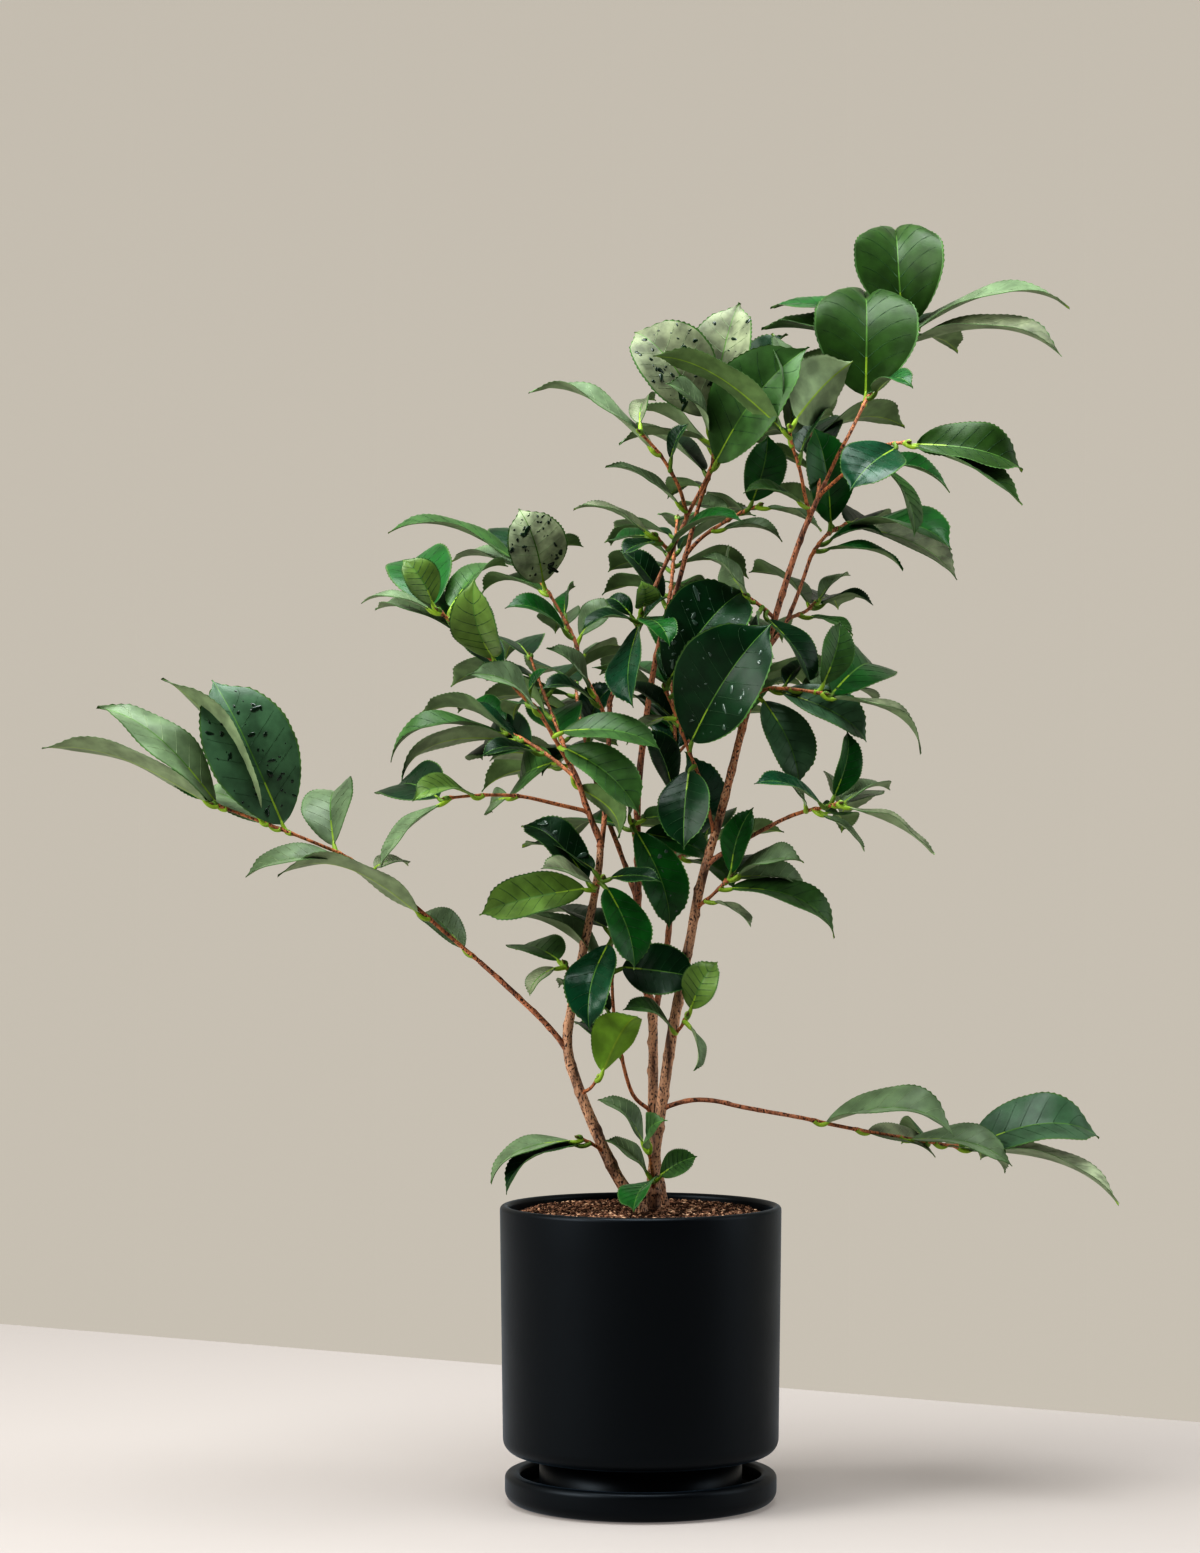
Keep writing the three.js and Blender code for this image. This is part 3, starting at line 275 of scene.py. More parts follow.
    "leaves_middle_right": dict(on=("bough_middle", 952), twigs=[
        dict(path=[(66, 24, 970), (95, 18, 988), (116, 14, 997)],
             leaves=[(0.85, 127, -8, 1068, 0.9, 0.66), (1, 182, -10, 972, 0.2),
                 (0.35, 143, 0, 962, 0.35), (0.6, 40, 60, 1000, 0.4)],
             more=(2, 70)),
    ]),
    "leaves_top_left": dict(on=("bough_centre_high", 986), twigs=[
        dict(path=[(38, -19, 1014), (20, -37, 1043), (1, -56, 1062)],
             leaves=[(0.7, -111, -41, 1111, 0.3, 0.34), (0.02, -35, -19, 1034, 0.3, 0.38),
                 (0.5, 47, -69, 1075, 0.6), (1, 15, -6, 1102, 0.5)]),
    ]),
    "leaves_top_centre": dict(on=("bough_centre_high", "tip"), twigs=[
        dict(path=[(65, 2, 1022), (73, -2, 1045), (70, -4, 1080)],
             leaves=[(0.45, 166, -28, 1148, 0.9, 0.56), (0.95, -6, 8, 1172, 0.95, 0.76, 85),
                 (1, 100, 16, 1203, 0.85, 0.64), (0.8, 24, -50, 1112, 0.4),
                 (0.6, 118, 40, 1110, 0.5)],
             more=(1, 100)),
    ]),
    "leaves_top_back": dict(on=("bough_middle", "tip"), twigs=[
        dict(path=[(66, 40, 1020), (84, 54, 1066), (98, 60, 1100)],
             leaves=[(1, 150, 50, 1176, 0.6), (0.9, 40, 60, 1150, 0.4)],
             more=(4, 80)),
    ]),
    "leaves_top_middle": dict(on=("stem_right", 984), twigs=[
        dict(path=[(163, -34, 1003), (157, -50, 1028), (148, -64, 1053), (146, -76, 1064)],
             leaves=[(0.9, 11, -108, 1135, -0.5, 0.3, 60), (1, 211, -70, 1137, -0.85, 0.7),
                 (0.1, 101, -56, 1004, 0.35), (0.8, 131, -42, 1168, 0.5),
                 (0.6, 194, -4, 1087, 0.4)]),
    ]),
    "leaves_right_cluster": dict(on=("stem_right", 1006), twigs=[
        dict(path=[(205, -45, 1028), (233, -71, 1048), (257, -92, 1050)],
             leaves=[(0.9, 201, -134, 999, 0.85, 0.86), (1, 372, -96, 1022, 0.8, 0.54, 60),
                 (1, 368, -126, 985, 0.5, 0.42), (0.6, 265, -104, 957, 0.4),
                 (0.5, 307, -28, 1007, 0.4)]),
    ]),
    "leaves_top_right": dict(on=("stem_right", "tip"), twigs=[
        dict(path=[(196, -12, 1044), (210, -8, 1070), (228, 8, 1106), (250, 36, 1146),
                 (268, 60, 1176)],
             leaves=[(0.46, 230, 70, 1212, 1, 0.8, 108), (0.98, 266, 118, 1284, 1, 0.78, 108),
                 (1, 434, 30, 1200, 0.3, 0.34, 70), (0.9, 422, -4, 1146, 0.35, 0.34, 62),
                 (0.86, 134, 88, 1206, 0.35), (0.8, 124, 66, 1182, 0.35),
                 (0.5, 268, -60, 1108, 0.4)],
             more=(2, 90)),
    ]),
    "leaves_back_low": dict(on=("bough_back", 640), twigs=[
        dict(path=[(54, 124, 652), (68, 178, 664)],
             leaves=[(0.2, 46, 84, 752, 0.8, 0.6), (0.1, 96, 60, 612, 0.6, 0.56)],
             more=(4, 80)),
    ]),
    "leaves_back_middle": dict(on=("bough_back", "tip"), twigs=[
        dict(path=[(38, 124, 750), (36, 172, 800), (34, 210, 846)],
             leaves=[(0.02, 2, 74, 776, 0.8, 0.58), (0.1, 62, 66, 702, 0.7, 0.6)],
             more=(5, 85)),
        dict(at=0.3,
             path=[(72, 152, 790), (98, 190, 830)],
             more=(3, 50)),
    ]),
    "leaves_back_left": dict(on=("bough_back_left", "tip"), twigs=[
        dict(path=[(-62, 150, 790), (-66, 186, 824)],
             leaves=[(0.05, -100, 90, 728, 0.6, 0.56), (0.1, -22, 88, 822, 0.7, 0.6)],
             more=(5, 110)),
        dict(at=0.1,
             path=[(-74, 172, 740), (-84, 214, 744)],
             more=(3, 130)),
    ]),
    "leaves_back_high": dict(on=("bough_middle", 880), twigs=[
        dict(path=[(32, 76, 920), (36, 124, 960), (40, 160, 996)],
             leaves=[(0.1, -20, 56, 956, 0.7, 0.56)],
             more=(5, 80)),
    ]),
    "leaves_back_top": dict(on=("stem_right", 1002), twigs=[
        dict(path=[(180, 24, 1030), (176, 76, 1072), (176, 124, 1104)],
             more=(5, 85)),
    ]),
    "leaves_back_upper_left": dict(on=("bough_upper_left", 712), twigs=[
        dict(path=[(-78, 22, 760), (-98, 76, 812), (-112, 118, 850)],
             more=(5, 95)),
    ]),
    "leaves_back_right": dict(on=("stem_right", 740), twigs=[
        dict(path=[(104, 30, 780), (116, 82, 830), (124, 126, 870)],
             more=(5, 70)),
    ]),
}

# ---- Growth: the same rule as the solids' -------------------------------------------------
UP = np.array([0.0, 0.0, 1.0])
FRONT = np.array([0.0, -1.0, 0.0])


def height_of(up):
    """Height in mm of a height in squares."""
    return up * SQUARE - LAYOUT_LOW


def place(squares):
    """A point of the layout in mm."""
    right, back, up = squares
    return np.array([right * SQUARE, back * SQUARE, height_of(up)])


def mix(pair, share):
    """Between a pair of values, at a share of the way."""
    return pair[0] + (pair[1] - pair[0]) * share


def unit(v):
    return v / np.linalg.norm(v)


def units(rows):
    return rows / np.linalg.norm(rows, axis=1, keepdims=True)


def square_to(v, axis):
    return unit(v - axis * np.dot(v, axis))


def seeded(seed):
    """Repeatable numbers from 0 to 1 for one seed."""
    state = seed & 0xFFFFFFFF

    def step():
        nonlocal state
        state = (state + 0x6D2B79F5) & 0xFFFFFFFF
        t = state
        t = ((t ^ (t >> 15)) * (t | 1)) & 0xFFFFFFFF
        t ^= (t + (((t ^ (t >> 7)) * (t | 61)) & 0xFFFFFFFF)) & 0xFFFFFFFF
        return ((t ^ (t >> 14)) & 0xFFFFFFFF) / 4294967296

    return step


def smooth(points, steps=LINE_STEPS):
    """A smooth line through the points, in `steps` pieces from each to the next."""
    last = len(points) - 1
    line = []
    for i in range(last):
        a, b, c, d = (points[min(max(j, 0), last)] for j in (i - 1, i, i + 1, i + 2))
        for k in range(steps):
            t = k / steps
            line.append(
                a * (0.5 * (-t + 2 * t * t - t * t * t))
                + b * (0.5 * (2 - 5 * t * t + 3 * t * t * t))
                + c * (0.5 * (t + 4 * t * t - 3 * t * t * t))
                + d * (0.5 * (-t * t + t * t * t))
            )
    line.append(points[last].copy())
    return line


def along(line, share):
    """Point and direction at a share of a line's length."""
    lengths = [0.0]
    for a, b in zip(line, line[1:]):
        lengths.append(lengths[-1] + float(np.linalg.norm(b - a)))
    want = share * lengths[-1]
    i = 1
    while i < len(line) - 1 and lengths[i] < want:
        i += 1
    t = (want - lengths[i - 1]) / (lengths[i] - lengths[i - 1])
    return SimpleNamespace(
        point=line[i - 1] * (1 - t) + line[i] * t,
        direction=unit(line[i] - line[i - 1]),
        length=lengths[-1],
    )


def share_at_height(line, height):
    """The share of a line's length where it first rises past a height."""
    for k in range(201):
        if along(line, k / 200).point[2] >= height:
            return k / 200
    return 1


def start_on(parent, where, first, radius):
    """Where a limb or twig starts on its parent, and the point inside the parent behind it."""
    if where == "tip":
        tip = along(parent.line, 1)
        return tip.point + tip.direction * GAP, tip.point - tip.direction * 3
    share = share_at_height(parent.line, height_of(where))
    at = along(parent.line, share)
    away = unit(first - at.point)
    lean = min(abs(float(np.dot(away, at.direction))), 0.97)
    reach = (parent.radius_at(share) + GAP + 0.05 + radius * lean) / math.sqrt(1 - lean * lean)
    return at.point + away * reach, at.point - at.direction * 2


def limb_radius(radius, flare):
    return lambda share: mix(radius, share) * (1 + flare * max(0, 1 - share * 14))


def grow_limbs():
    """Every stem and bough: its smooth line, where it starts inside its parent, its radius."""
    limbs = {}
    for name, spec in LIMBS.items():
        path = [place(p) for p in spec["points"]]
        inside = None
        if "on" in spec:
            parent, where = spec["on"]
            start, inside = start_on(limbs[parent], where, path[0], spec["radius"][0])
            path.insert(0, start)
        else:
            path[0][2] = SOIL["top"] + GAP
        flare = 0 if "on" in spec else FLARE
        limbs[name] = SimpleNamespace(
            line=smooth(path), inside=inside, radius_at=limb_radius(spec["radius"], flare)
        )
    return limbs


def midrib(curl, shares):
    """Points along a blade's midrib from (0, 0) to (1, 0), turned down at the tip."""
    steps = 40
    xs, zs = [0.0], [0.0]
    for k in range(steps):
        s = (k + 0.5) / steps
        angle = math.radians(curl) * (0.4 - s * s)
        xs.append(xs[k] + math.cos(angle) / steps)
        zs.append(zs[k] + math.sin(angle) / steps)
    ex, ez = xs[-1], zs[-1]
    size = ex * ex + ez * ez
    at = np.asarray(shares, dtype=float) * steps
    x = np.interp(at, range(steps + 1), xs)
    z = np.interp(at, range(steps + 1), zs)
    return (x * ex + z * ez) / size, (z * ex - x * ez) / size


def shape_by(random, width=None, curl=None):
    """A blade's shape by rule, with the width and curl that are given instead."""
    by_width, fold, by_curl = (mix(LEAF[name], random()) for name in ("width", "fold", "curl"))
    return dict(width=width or by_width, fold=math.radians(fold), curl=curl or by_curl)


def leaf_on(at, tip, show, shape):
    """Everything that fixes one leaf: its start, its blade's base, axes and shape."""
    heading = unit(tip - at.point)
    base = at.point + unit(heading * 0.8 + at.direction * 0.5) * LEAF["petiole"]
    chord = tip - base
    length = float(np.linalg.norm(chord))
    chord = chord / length
    wanted = UP * 0.85 + at.direction * 0.5
    if show is None:
        normal = square_to(wanted, chord)
    else:
        to_front = square_to(FRONT, chord)
        other = np.cross(chord, to_front)
        if np.dot(other, wanted) < 0:
            other = -other
        normal = to_front * show + other * math.sqrt(1 - show * show)
    return SimpleNamespace(
        start=at.point, along=at.direction, base=base, chord=chord, normal=normal,
        across=np.cross(chord, normal), length=length, **shape,
    )


SAMPLE_SHARES = (0.1, 0.25, 0.4, 0.55, 0.7, 0.85, 1)
SAMPLE_WIDTHS = (0.6, 0.85, 0.98, 0.92, 0.72, 0.4, 0)


def samples_of(leaf):
    """Points spread over a blade, to keep it clear of its neighbours."""
    x, z = midrib(leaf.curl, SAMPLE_SHARES)
    sides = np.array([-1, -0.5, 0, 0.5, 1])
    side = np.outer(SAMPLE_WIDTHS, sides) * leaf.width * 0.5 * leaf.length
    rise = z[:, None] * leaf.length + np.abs(side) * math.sin(leaf.fold)
    points = (
        leaf.base
        + leaf.chord * (x * leaf.length)[:, None, None]
        + leaf.across * (side * math.cos(leaf.fold))[..., None]
        + leaf.normal * rise[..., None]
    )
    return points.reshape(-1, 3)


class Neighbours:
    """The blades and the wood so far, to find how much room a new blade has."""

    def __init__(self):
        self.blades = []
        self.wood = []

    def add_wood(self, line, radius_at):
        steps = 24
        for k in range(steps + 1):
            self.wood.append((*along(line, k / steps).point, radius_at(k / steps)))

    def add_blade(self, samples):
        middle = samples[17]
        reach = float(np.linalg.norm(samples - middle, axis=1).max())
        self.blades.append((middle, reach, samples))

    def clearance(self, leaf, samples):
        outer = samples[np.linalg.norm(samples - leaf.start, axis=1) >= 13]
        wood = np.array(self.wood)
        gaps = np.linalg.norm(outer[:, None] - wood[None, :, :3], axis=2) - wood[:, 3]
        least = min(100.0, float(gaps.min()))
        for middle, reach, others in self.blades:
            if np.linalg.norm(outer - middle, axis=1).min() > reach + 8:
                continue
            gaps = np.linalg.norm(outer[:, None] - others[None], axis=2)
            least = min(least, float(gaps.min()))
        return least


def settle(at, tip, show, shape, neighbours, wanted=KEEP_CLEAR, least=LEAST_CLEAR):
    """One leaf put on its twig where it has room, or None."""
    best = None
    for back in DEPTH_TRIES:
        moved = tip + np.array([0.0, back * SQUARE, 0.0])
        leaf = leaf_on(at, moved, show, shape)
        samples = samples_of(leaf)
        clear = neighbours.clearance(leaf, samples)
        if best is None or clear > best[2] + 1:
            best = leaf, samples, clear
        if best[2] > wanted:
            break
    if best[2] < least:
        return None
    neighbours.add_blade(best[1])
    return best[0]


def ruled_tip(at, index, heading, random):
    """The tip of a leaf placed by rule, on a spiral round the twig and towards a heading."""
    spiral = 70 * math.sin(math.radians(index * GOLDEN))
    turn = math.radians(heading + spiral + 30 * (random() - 0.5))
    out = np.array([math.cos(turn), math.sin(turn), 0.0])
    out = out + UP * (0.35 - 0.75 * random()) + at.direction * 0.35
    length = mix(LEAF["length"], random()) + LEAF["petiole"]
    return at.point + unit(out) * length


def grow_twigs(index, spec, limbs, neighbours):
    """A mass's twigs, the first on its limb and the others on the first."""
    grown = []
    for twig in spec["twigs"]:
        path = [place(p) for p in twig["path"]]
        if not grown:
            radius = (1.5, 1)
            parent, where = spec["on"]
            start, inside = start_on(limbs[parent], where, path[0], radius[0])
        else:
            radius = (1.2, 0.9)
            start = along(grown[0].line, twig["at"]).point
            inside = None
        radius_at = limb_radius(radius, 0)
        line = smooth([start] + path)
        neighbours.add_wood(line, radius_at)
        grown.append(SimpleNamespace(
            line=line, inside=inside, radius_at=radius_at, leaves=[],
            aimed=twig.get("leaves", []), more=twig.get("more", (0, 0)),
            seed=1000 * index + 100 * len(grown),
        ))
    return grown


def grow_masses(limbs):
    """Every mass's twigs, then its aimed leaves, the leaves by rule and the finer growth."""
    neighbours = Neighbours()
    for limb in limbs.values():
        neighbours.add_wood(limb.line, limb.radius_at)
    masses = [SimpleNamespace(name=name, twigs=grow_twigs(index, spec, limbs, neighbours))
              for index, (name, spec) in enumerate(MASSES.items())]
    every = [(mass, twig) for mass in masses for twig in mass.twigs]
    for mass, twig in every:
        for k, (share, right, back, up, show, *given) in enumerate(twig.aimed):
            tip = place((right, back, up))
            at = along(twig.line, share)
            leaf = settle(at, tip, show, shape_by(seeded(twig.seed + k), *given), neighbours)
            keep(leaf, mass, twig, k)
    for mass, twig in every:
        count, heading = twig.more
        for k in range(count):
            random = seeded(twig.seed + RULED + k)
            at = along(twig.line, 1 - (0.85 * k) / max(count, 4))
            tip = ruled_tip(at, k, heading, random)
            leaf = settle(at, tip, None, shape_by(random), neighbours)
            keep(leaf, mass, twig, RULED + k)
    for mass, twig in every:
        count, heading = twig.more
        for k in range(FINER * count):
            random = seeded(twig.seed + FINEST + k)
            at = along(twig.line, 0.95 - (0.8 * k) / max(FINER * count, 4))
            tip = ruled_tip(at, k + 2, heading + 20, random)
            tip = at.point + (tip - at.point) * 0.8
            leaf = settle(at, tip, None, shape_by(random), neighbours, **FINER_CLEAR)
            keep(leaf, mass, twig, FINEST + k)
    return masses


def keep(leaf, mass, twig, number):
    """Files a settled leaf under its twig, with the name it is known by."""
    if leaf is not None:
        leaf.key = (mass.name, number)
        leaf.seed = twig.seed + number
        twig.leaves.append(leaf)


# ---- Meshes -------------------------------------------------------------------------------
class Batch:
    """Many small closed forms gathered into one mesh, a material number on every face."""

    def __init__(self):
        self.points, self.quads, self.tints, self.count = [], [], [], 0

    def add(self, points, quads, tints):
        points = np.asarray(points, dtype=float)
        quads = np.asarray(quads, dtype=int)
        self.points.append(points)
        self.quads.append(quads + self.count)
        self.tints.append(np.broadcast_to(tints, (len(quads),)))
        self.count += len(points)

    def faces(self):
        return sum(len(q) for q in self.quads)

    def build(self, name, materials, slot, *nodes):
        """One piece of the root body, in place of the solids named."""
        points = np.concatenate(self.points) * 0.001
        quads = np.concatenate(self.quads)
        tints = np.concatenate(self.tints)
        three = quads[:, 3] == quads[:, 2]
        totals = np.where(three, 3, 4)
        keep_corner = np.ones(quads.shape, dtype=bool)
        keep_corner[three, 3] = False
        corners = quads[keep_corner]
        mesh = bpy.data.meshes.new(name)
        mesh.vertices.add(len(points))
        mesh.vertices.foreach_set("co", points.ravel())
        mesh.loops.add(len(corners))
        mesh.loops.foreach_set("vertex_index", corners.astype(np.int32))
        mesh.polygons.add(len(quads))
        starts = np.concatenate([[0], np.cumsum(totals)[:-1]])
        mesh.polygons.foreach_set("loop_start", starts.astype(np.int32))
        mesh.polygons.foreach_set("loop_total", totals.astype(np.int32))
        mesh.polygons.foreach_set("material_index", tints.astype(np.int32))
        mesh.polygons.foreach_set("use_smooth", np.ones(len(quads), dtype=bool))
        for material in materials:
            mesh.materials.append(material)
        mesh.update(calc_edges=True)
        piece = bpy.data.objects.new(name, mesh)
        bpy.context.scene.collection.objects.link(piece)
        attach(piece, "root")
        if nodes:
            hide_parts(*nodes)


def grid_quads(rows, columns, closed=False):
    """Corner numbers of the quads between rows of points."""
    last = columns if closed else columns - 1
    i, j = np.meshgrid(np.arange(rows - 1), np.arange(last), indexing="ij")
    i, j = i.ravel(), j.ravel()
    k = (j + 1) % columns
    return np.stack([i * columns + j, i * columns + k, (i + 1) * columns + k,
                     (i + 1) * columns + j], axis=1)


def fan(centre, ring):
    """Three-cornered faces from a centre point to a ring of points."""
    ring = np.asarray(ring)
    after = np.roll(ring, -1)
    middle = np.full(len(ring), centre)
    return np.stack([middle, ring, after, after], axis=1)


def closed_quads(rows, sides):
    """Faces of rings of points, and of the two end points after them that close the form."""
    ring = np.arange(sides)
    return np.vstack([
        grid_quads(rows, sides, closed=True),
        fan(rows * sides, ring[::-1]),
        fan(rows * sides + 1, (rows - 1) * sides + ring),
    ])


def turns_of(sides):
    """Even turns all the way round, in radians."""
    return np.arange(sides) * (2 * math.pi / sides)


def tube_points(line, radii, sides, shape=None):
    """Rings of points round a line; `shape` scales each radius by ring and side."""
    line = np.array(line)
    tangents = np.gradient(line, axis=0)
    side = np.array([1.0, 0.3, 0.2])
    turns = turns_of(sides)
    rings = []
    for k, (point, tangent) in enumerate(zip(line, tangents)):
        direction = unit(tangent)
        side = square_to(side, direction)
        other = np.cross(direction, side)
        reach = radii[k] * (shape[k] if shape is not None else 1)
        rings.append(
            point
            + np.outer(np.cos(turns) * reach, side)
            + np.outer(np.sin(turns) * reach, other)
        )
    return np.array(rings)


def add_tube(batch, line, radii, sides, tint, shape=None):
    """A tube closed by a low point at each end."""
    rings = tube_points(line, radii, sides, shape)
    first = line[0] + unit(line[0] - line[1]) * radii[0] * 0.4
    last = line[-1] + unit(line[-1] - line[-2]) * radii[-1] * 0.5
    points = np.vstack([rings.reshape(-1, 3), first, last])
    batch.add(points, closed_quads(len(rings), sides), tint)


def resample(line, spacing):
    """The same line with points every `spacing` millimetres."""
    line = np.array(line)
    steps = np.linalg.norm(np.diff(line, axis=0), axis=1)
    reach = np.concatenate([[0], np.cumsum(steps)])
    count = max(4, int(reach[-1] / spacing))
    at = np.linspace(0, reach[-1], count + 1)
    return np.stack([np.interp(at, reach, line[:, i]) for i in range(3)], axis=1)


# ---- Leaves -------------------------------------------------------------------------------
STATIONS = 48  # along a blade, two to a tooth of its edge
EDGE = 0.972  # share of the half width where the thin edge begins
STEPS_IN = (0.2, 0.48, 0.78)  # the columns between the edge and the midrib
COLUMNS = 12  # across a blade, two of them on the edge and two beside the midrib
RIB_COLUMNS = (5, 6)
RIB_PALE = 0.25  # share of the midrib that is as pale as the petiole
HALF_THICK = dict(blade=0.3, edge=0.14, rib_top=0.12)  # mm
RIB_DROP = 0.5  # mm more that the midrib stands out below, at the base
VEINS = 8  # pairs of side veins
TOOTH = 1.0  # mm that a tooth stands out
HEART_CURL = 100  # degrees; a leaf curled further shows two round lobes
DROP_RISE = 0.36  # how far a drop of water stands up, as a share of its half width
DROP_LIFT = 0.25  # mm from a blade's middle surface up to its drops
DROP_SIDES = 10
DROP_RINGS = ((0.2, 1), (0.5, 0.93), (0.8, 0.7), (0.98, 0.32))  # height and reach, as shares
RIB_WIDTH = (0.8, 0.22)  # mm, half the midrib at the base and at the tip

# Colour, roughness and gloss of the leaves' materials, and how mottled the palest are. Some of the
# greens carry painted sheen and painted light, as noted at each.
LEAF_COLOURS = {
    "leaf_dark": ((0.0024, 0.031, 0.0078), 0.38, 0.04),
    "leaf_mid": ((0.0080, 0.084, 0.0120), 0.34, 0.05),
    "leaf_blue": ((0.0045, 0.052, 0.021), 0.28, 0.1),
    # This bluish green is the leaves' own tone made lighter, painted light for leaves that the
    # lamps leave in shade.
    "leaf_cool": ((0.052, 0.112, 0.058), 0.36, 0.05),
    "leaf_fresh": ((0.024, 0.064, 0.010), 0.42, 0.03),
    "leaf_olive": ((0.045, 0.110, 0.028), 0.40, 0.03),
    # This grey green is a painted sheen: the upper side's reflection of the sky laid into its
    # colour.
    "leaf_grey": ((0.138, 0.200, 0.108), 0.42, 0.03),
    # This pale green is partly the leaf's own paler tone and partly a painted sheen of reflected
    # sky.
    "leaf_pale": ((0.175, 0.200, 0.122), 0.50, 0.02, 0.4),
    # This green is a lighter copy of the pale one, painted light for pale leaves that face away
    # from the lamps, with the same painted sheen.
    "leaf_wan": ((0.300, 0.350, 0.225), 0.50, 0.02, 0.4),
    "leaf_bright": ((0.115, 0.195, 0.042), 0.38, 0.06),
    "under_grey": ((0.165, 0.245, 0.110), 0.56, 0),
    "under_olive": ((0.125, 0.200, 0.075), 0.55, 0),
    "under_pale": ((0.230, 0.300, 0.170), 0.58, 0),
    "under_bright": ((0.17, 0.31, 0.035), 0.52, 0),
    "leaf_rib": ((0.085, 0.19, 0.035), 0.45, 0.05),
    "leaf_vein": ((0.020, 0.070, 0.024), 0.45, 0.05),
    "leaf_edge": ((0.062, 0.14, 0.035), 0.45, 0.05),
    "petiole": ((0.25, 0.38, 0.04), 0.42, 0.1),
    "stalk": ((0.13, 0.22, 0.03), 0.42, 0.1),
}
# The two faces of a leaf, by its look.
# The grey, pale, wan and cool looks carry the painted sheen and painted light of their greens.
FACES = {
    "dark": ("leaf_dark", "under_grey"),
    "mid": ("leaf_mid", "under_olive"),
    "blue": ("leaf_blue", "under_grey"),
    "cool": ("leaf_cool", "under_grey"),
    "fresh": ("leaf_fresh", "under_olive"),
    "olive": ("leaf_olive", "under_olive"),
    "grey": ("leaf_grey", "under_pale"),
    "pale": ("leaf_pale", "under_pale"),
    "wan": ("leaf_wan", "under_pale"),
    "young": ("leaf_bright", "under_bright"),
}
# The looks of a mass's aimed leaves, in their order.
LOOKS = {
    "leaves_left_low": "pale grey pale cool grey grey pale pale grey",
    "leaves_right_low": "grey pale grey cool wan pale",
    "leaves_pot_left": "grey dark",
    "leaves_pot_front": "grey olive grey olive mid",
    "leaves_foot_left": "young",
    "leaves_bend_left": "pale",
    "leaves_foot_right": "olive young grey",
    "leaves_inner": "blue dark",
    "leaves_middle_left": "young dark mid dark pale",
    "leaves_core_low": "mid mid grey",
    "leaves_right_side": "pale olive grey grey mid",
    "leaves_right_middle": "grey pale mid grey grey",
    "leaves_middle_left_arm": "young grey grey",
    "leaves_upper_left": "olive olive grey young mid young grey mid mid",
    "leaves_left_side": "olive pale dark dark olive olive",
    "leaves_centre_left": "wan olive grey mid grey dark grey mid",
    "leaves_centre": "young mid blue dark dark dark",
    "leaves_core_right": "dark dark dark pale dark",
    "leaves_right_upper": "cool cool pale olive dark grey",
    "leaves_right_high": "pale mid mid mid mid",
    "leaves_right_inner": "dark olive grey",
    "leaves_centre_right": "grey grey dark dark",
    "leaves_centre_high": "pale dark mid mid",
    "leaves_middle_right": "mid grey grey grey",
    "leaves_top_left": "grey grey dark pale",
    "leaves_top_centre": "olive pale pale grey fresh",
    "leaves_top_middle": "olive pale fresh grey mid",
    "leaves_right_cluster": "blue fresh fresh olive mid",
    "leaves_top_right": "fresh fresh grey pale mid fresh mid",
}
# Upper sides that come with a bright stalk.
BRIGHT_STALKED = ("leaf_cool", "leaf_fresh", "leaf_olive", "leaf_grey", "leaf_pale",
                  "leaf_wan", "leaf_bright")
# Looks of the leaves placed by rule, and how often each comes.
RULED_LOOKS = (("dark", 0.32), ("mid", 0.33), ("blue", 0.12), ("olive", 0.12), ("grey", 0.11))
# Leaves that hold drops of water, and how many.
WET = {
    ("leaves_left_low", 3): 46, ("leaves_centre_left", 0): 40, ("leaves_core_right", 0): 26,
    ("leaves_core_right", 1): 38, ("leaves_top_centre", 1): 44, ("leaves_middle_left", 1): 16,
    ("leaves_top_centre", 2): 14, ("leaves_core_low", 0): 8,
}


def numbers_of(*names):
    """Numbers of the leaves' materials, as faces hold them."""
    every = list(LEAF_COLOURS)
    return [every.index(name) for name in names]


def half_width(s):
    """Half width of a blade at a share of its length: an oval drawn out to a short point."""
    body = np.sin(np.pi * np.clip(s / 0.975, 0, 1) ** 1.02) ** 0.63
    drawn = np.clip((s - 0.82) / 0.13, 0, 1)
    return np.clip(body * (1 - 0.55 * drawn * drawn * (3 - 2 * drawn)) + 0.03 * (1 - s), 0.012, 1)


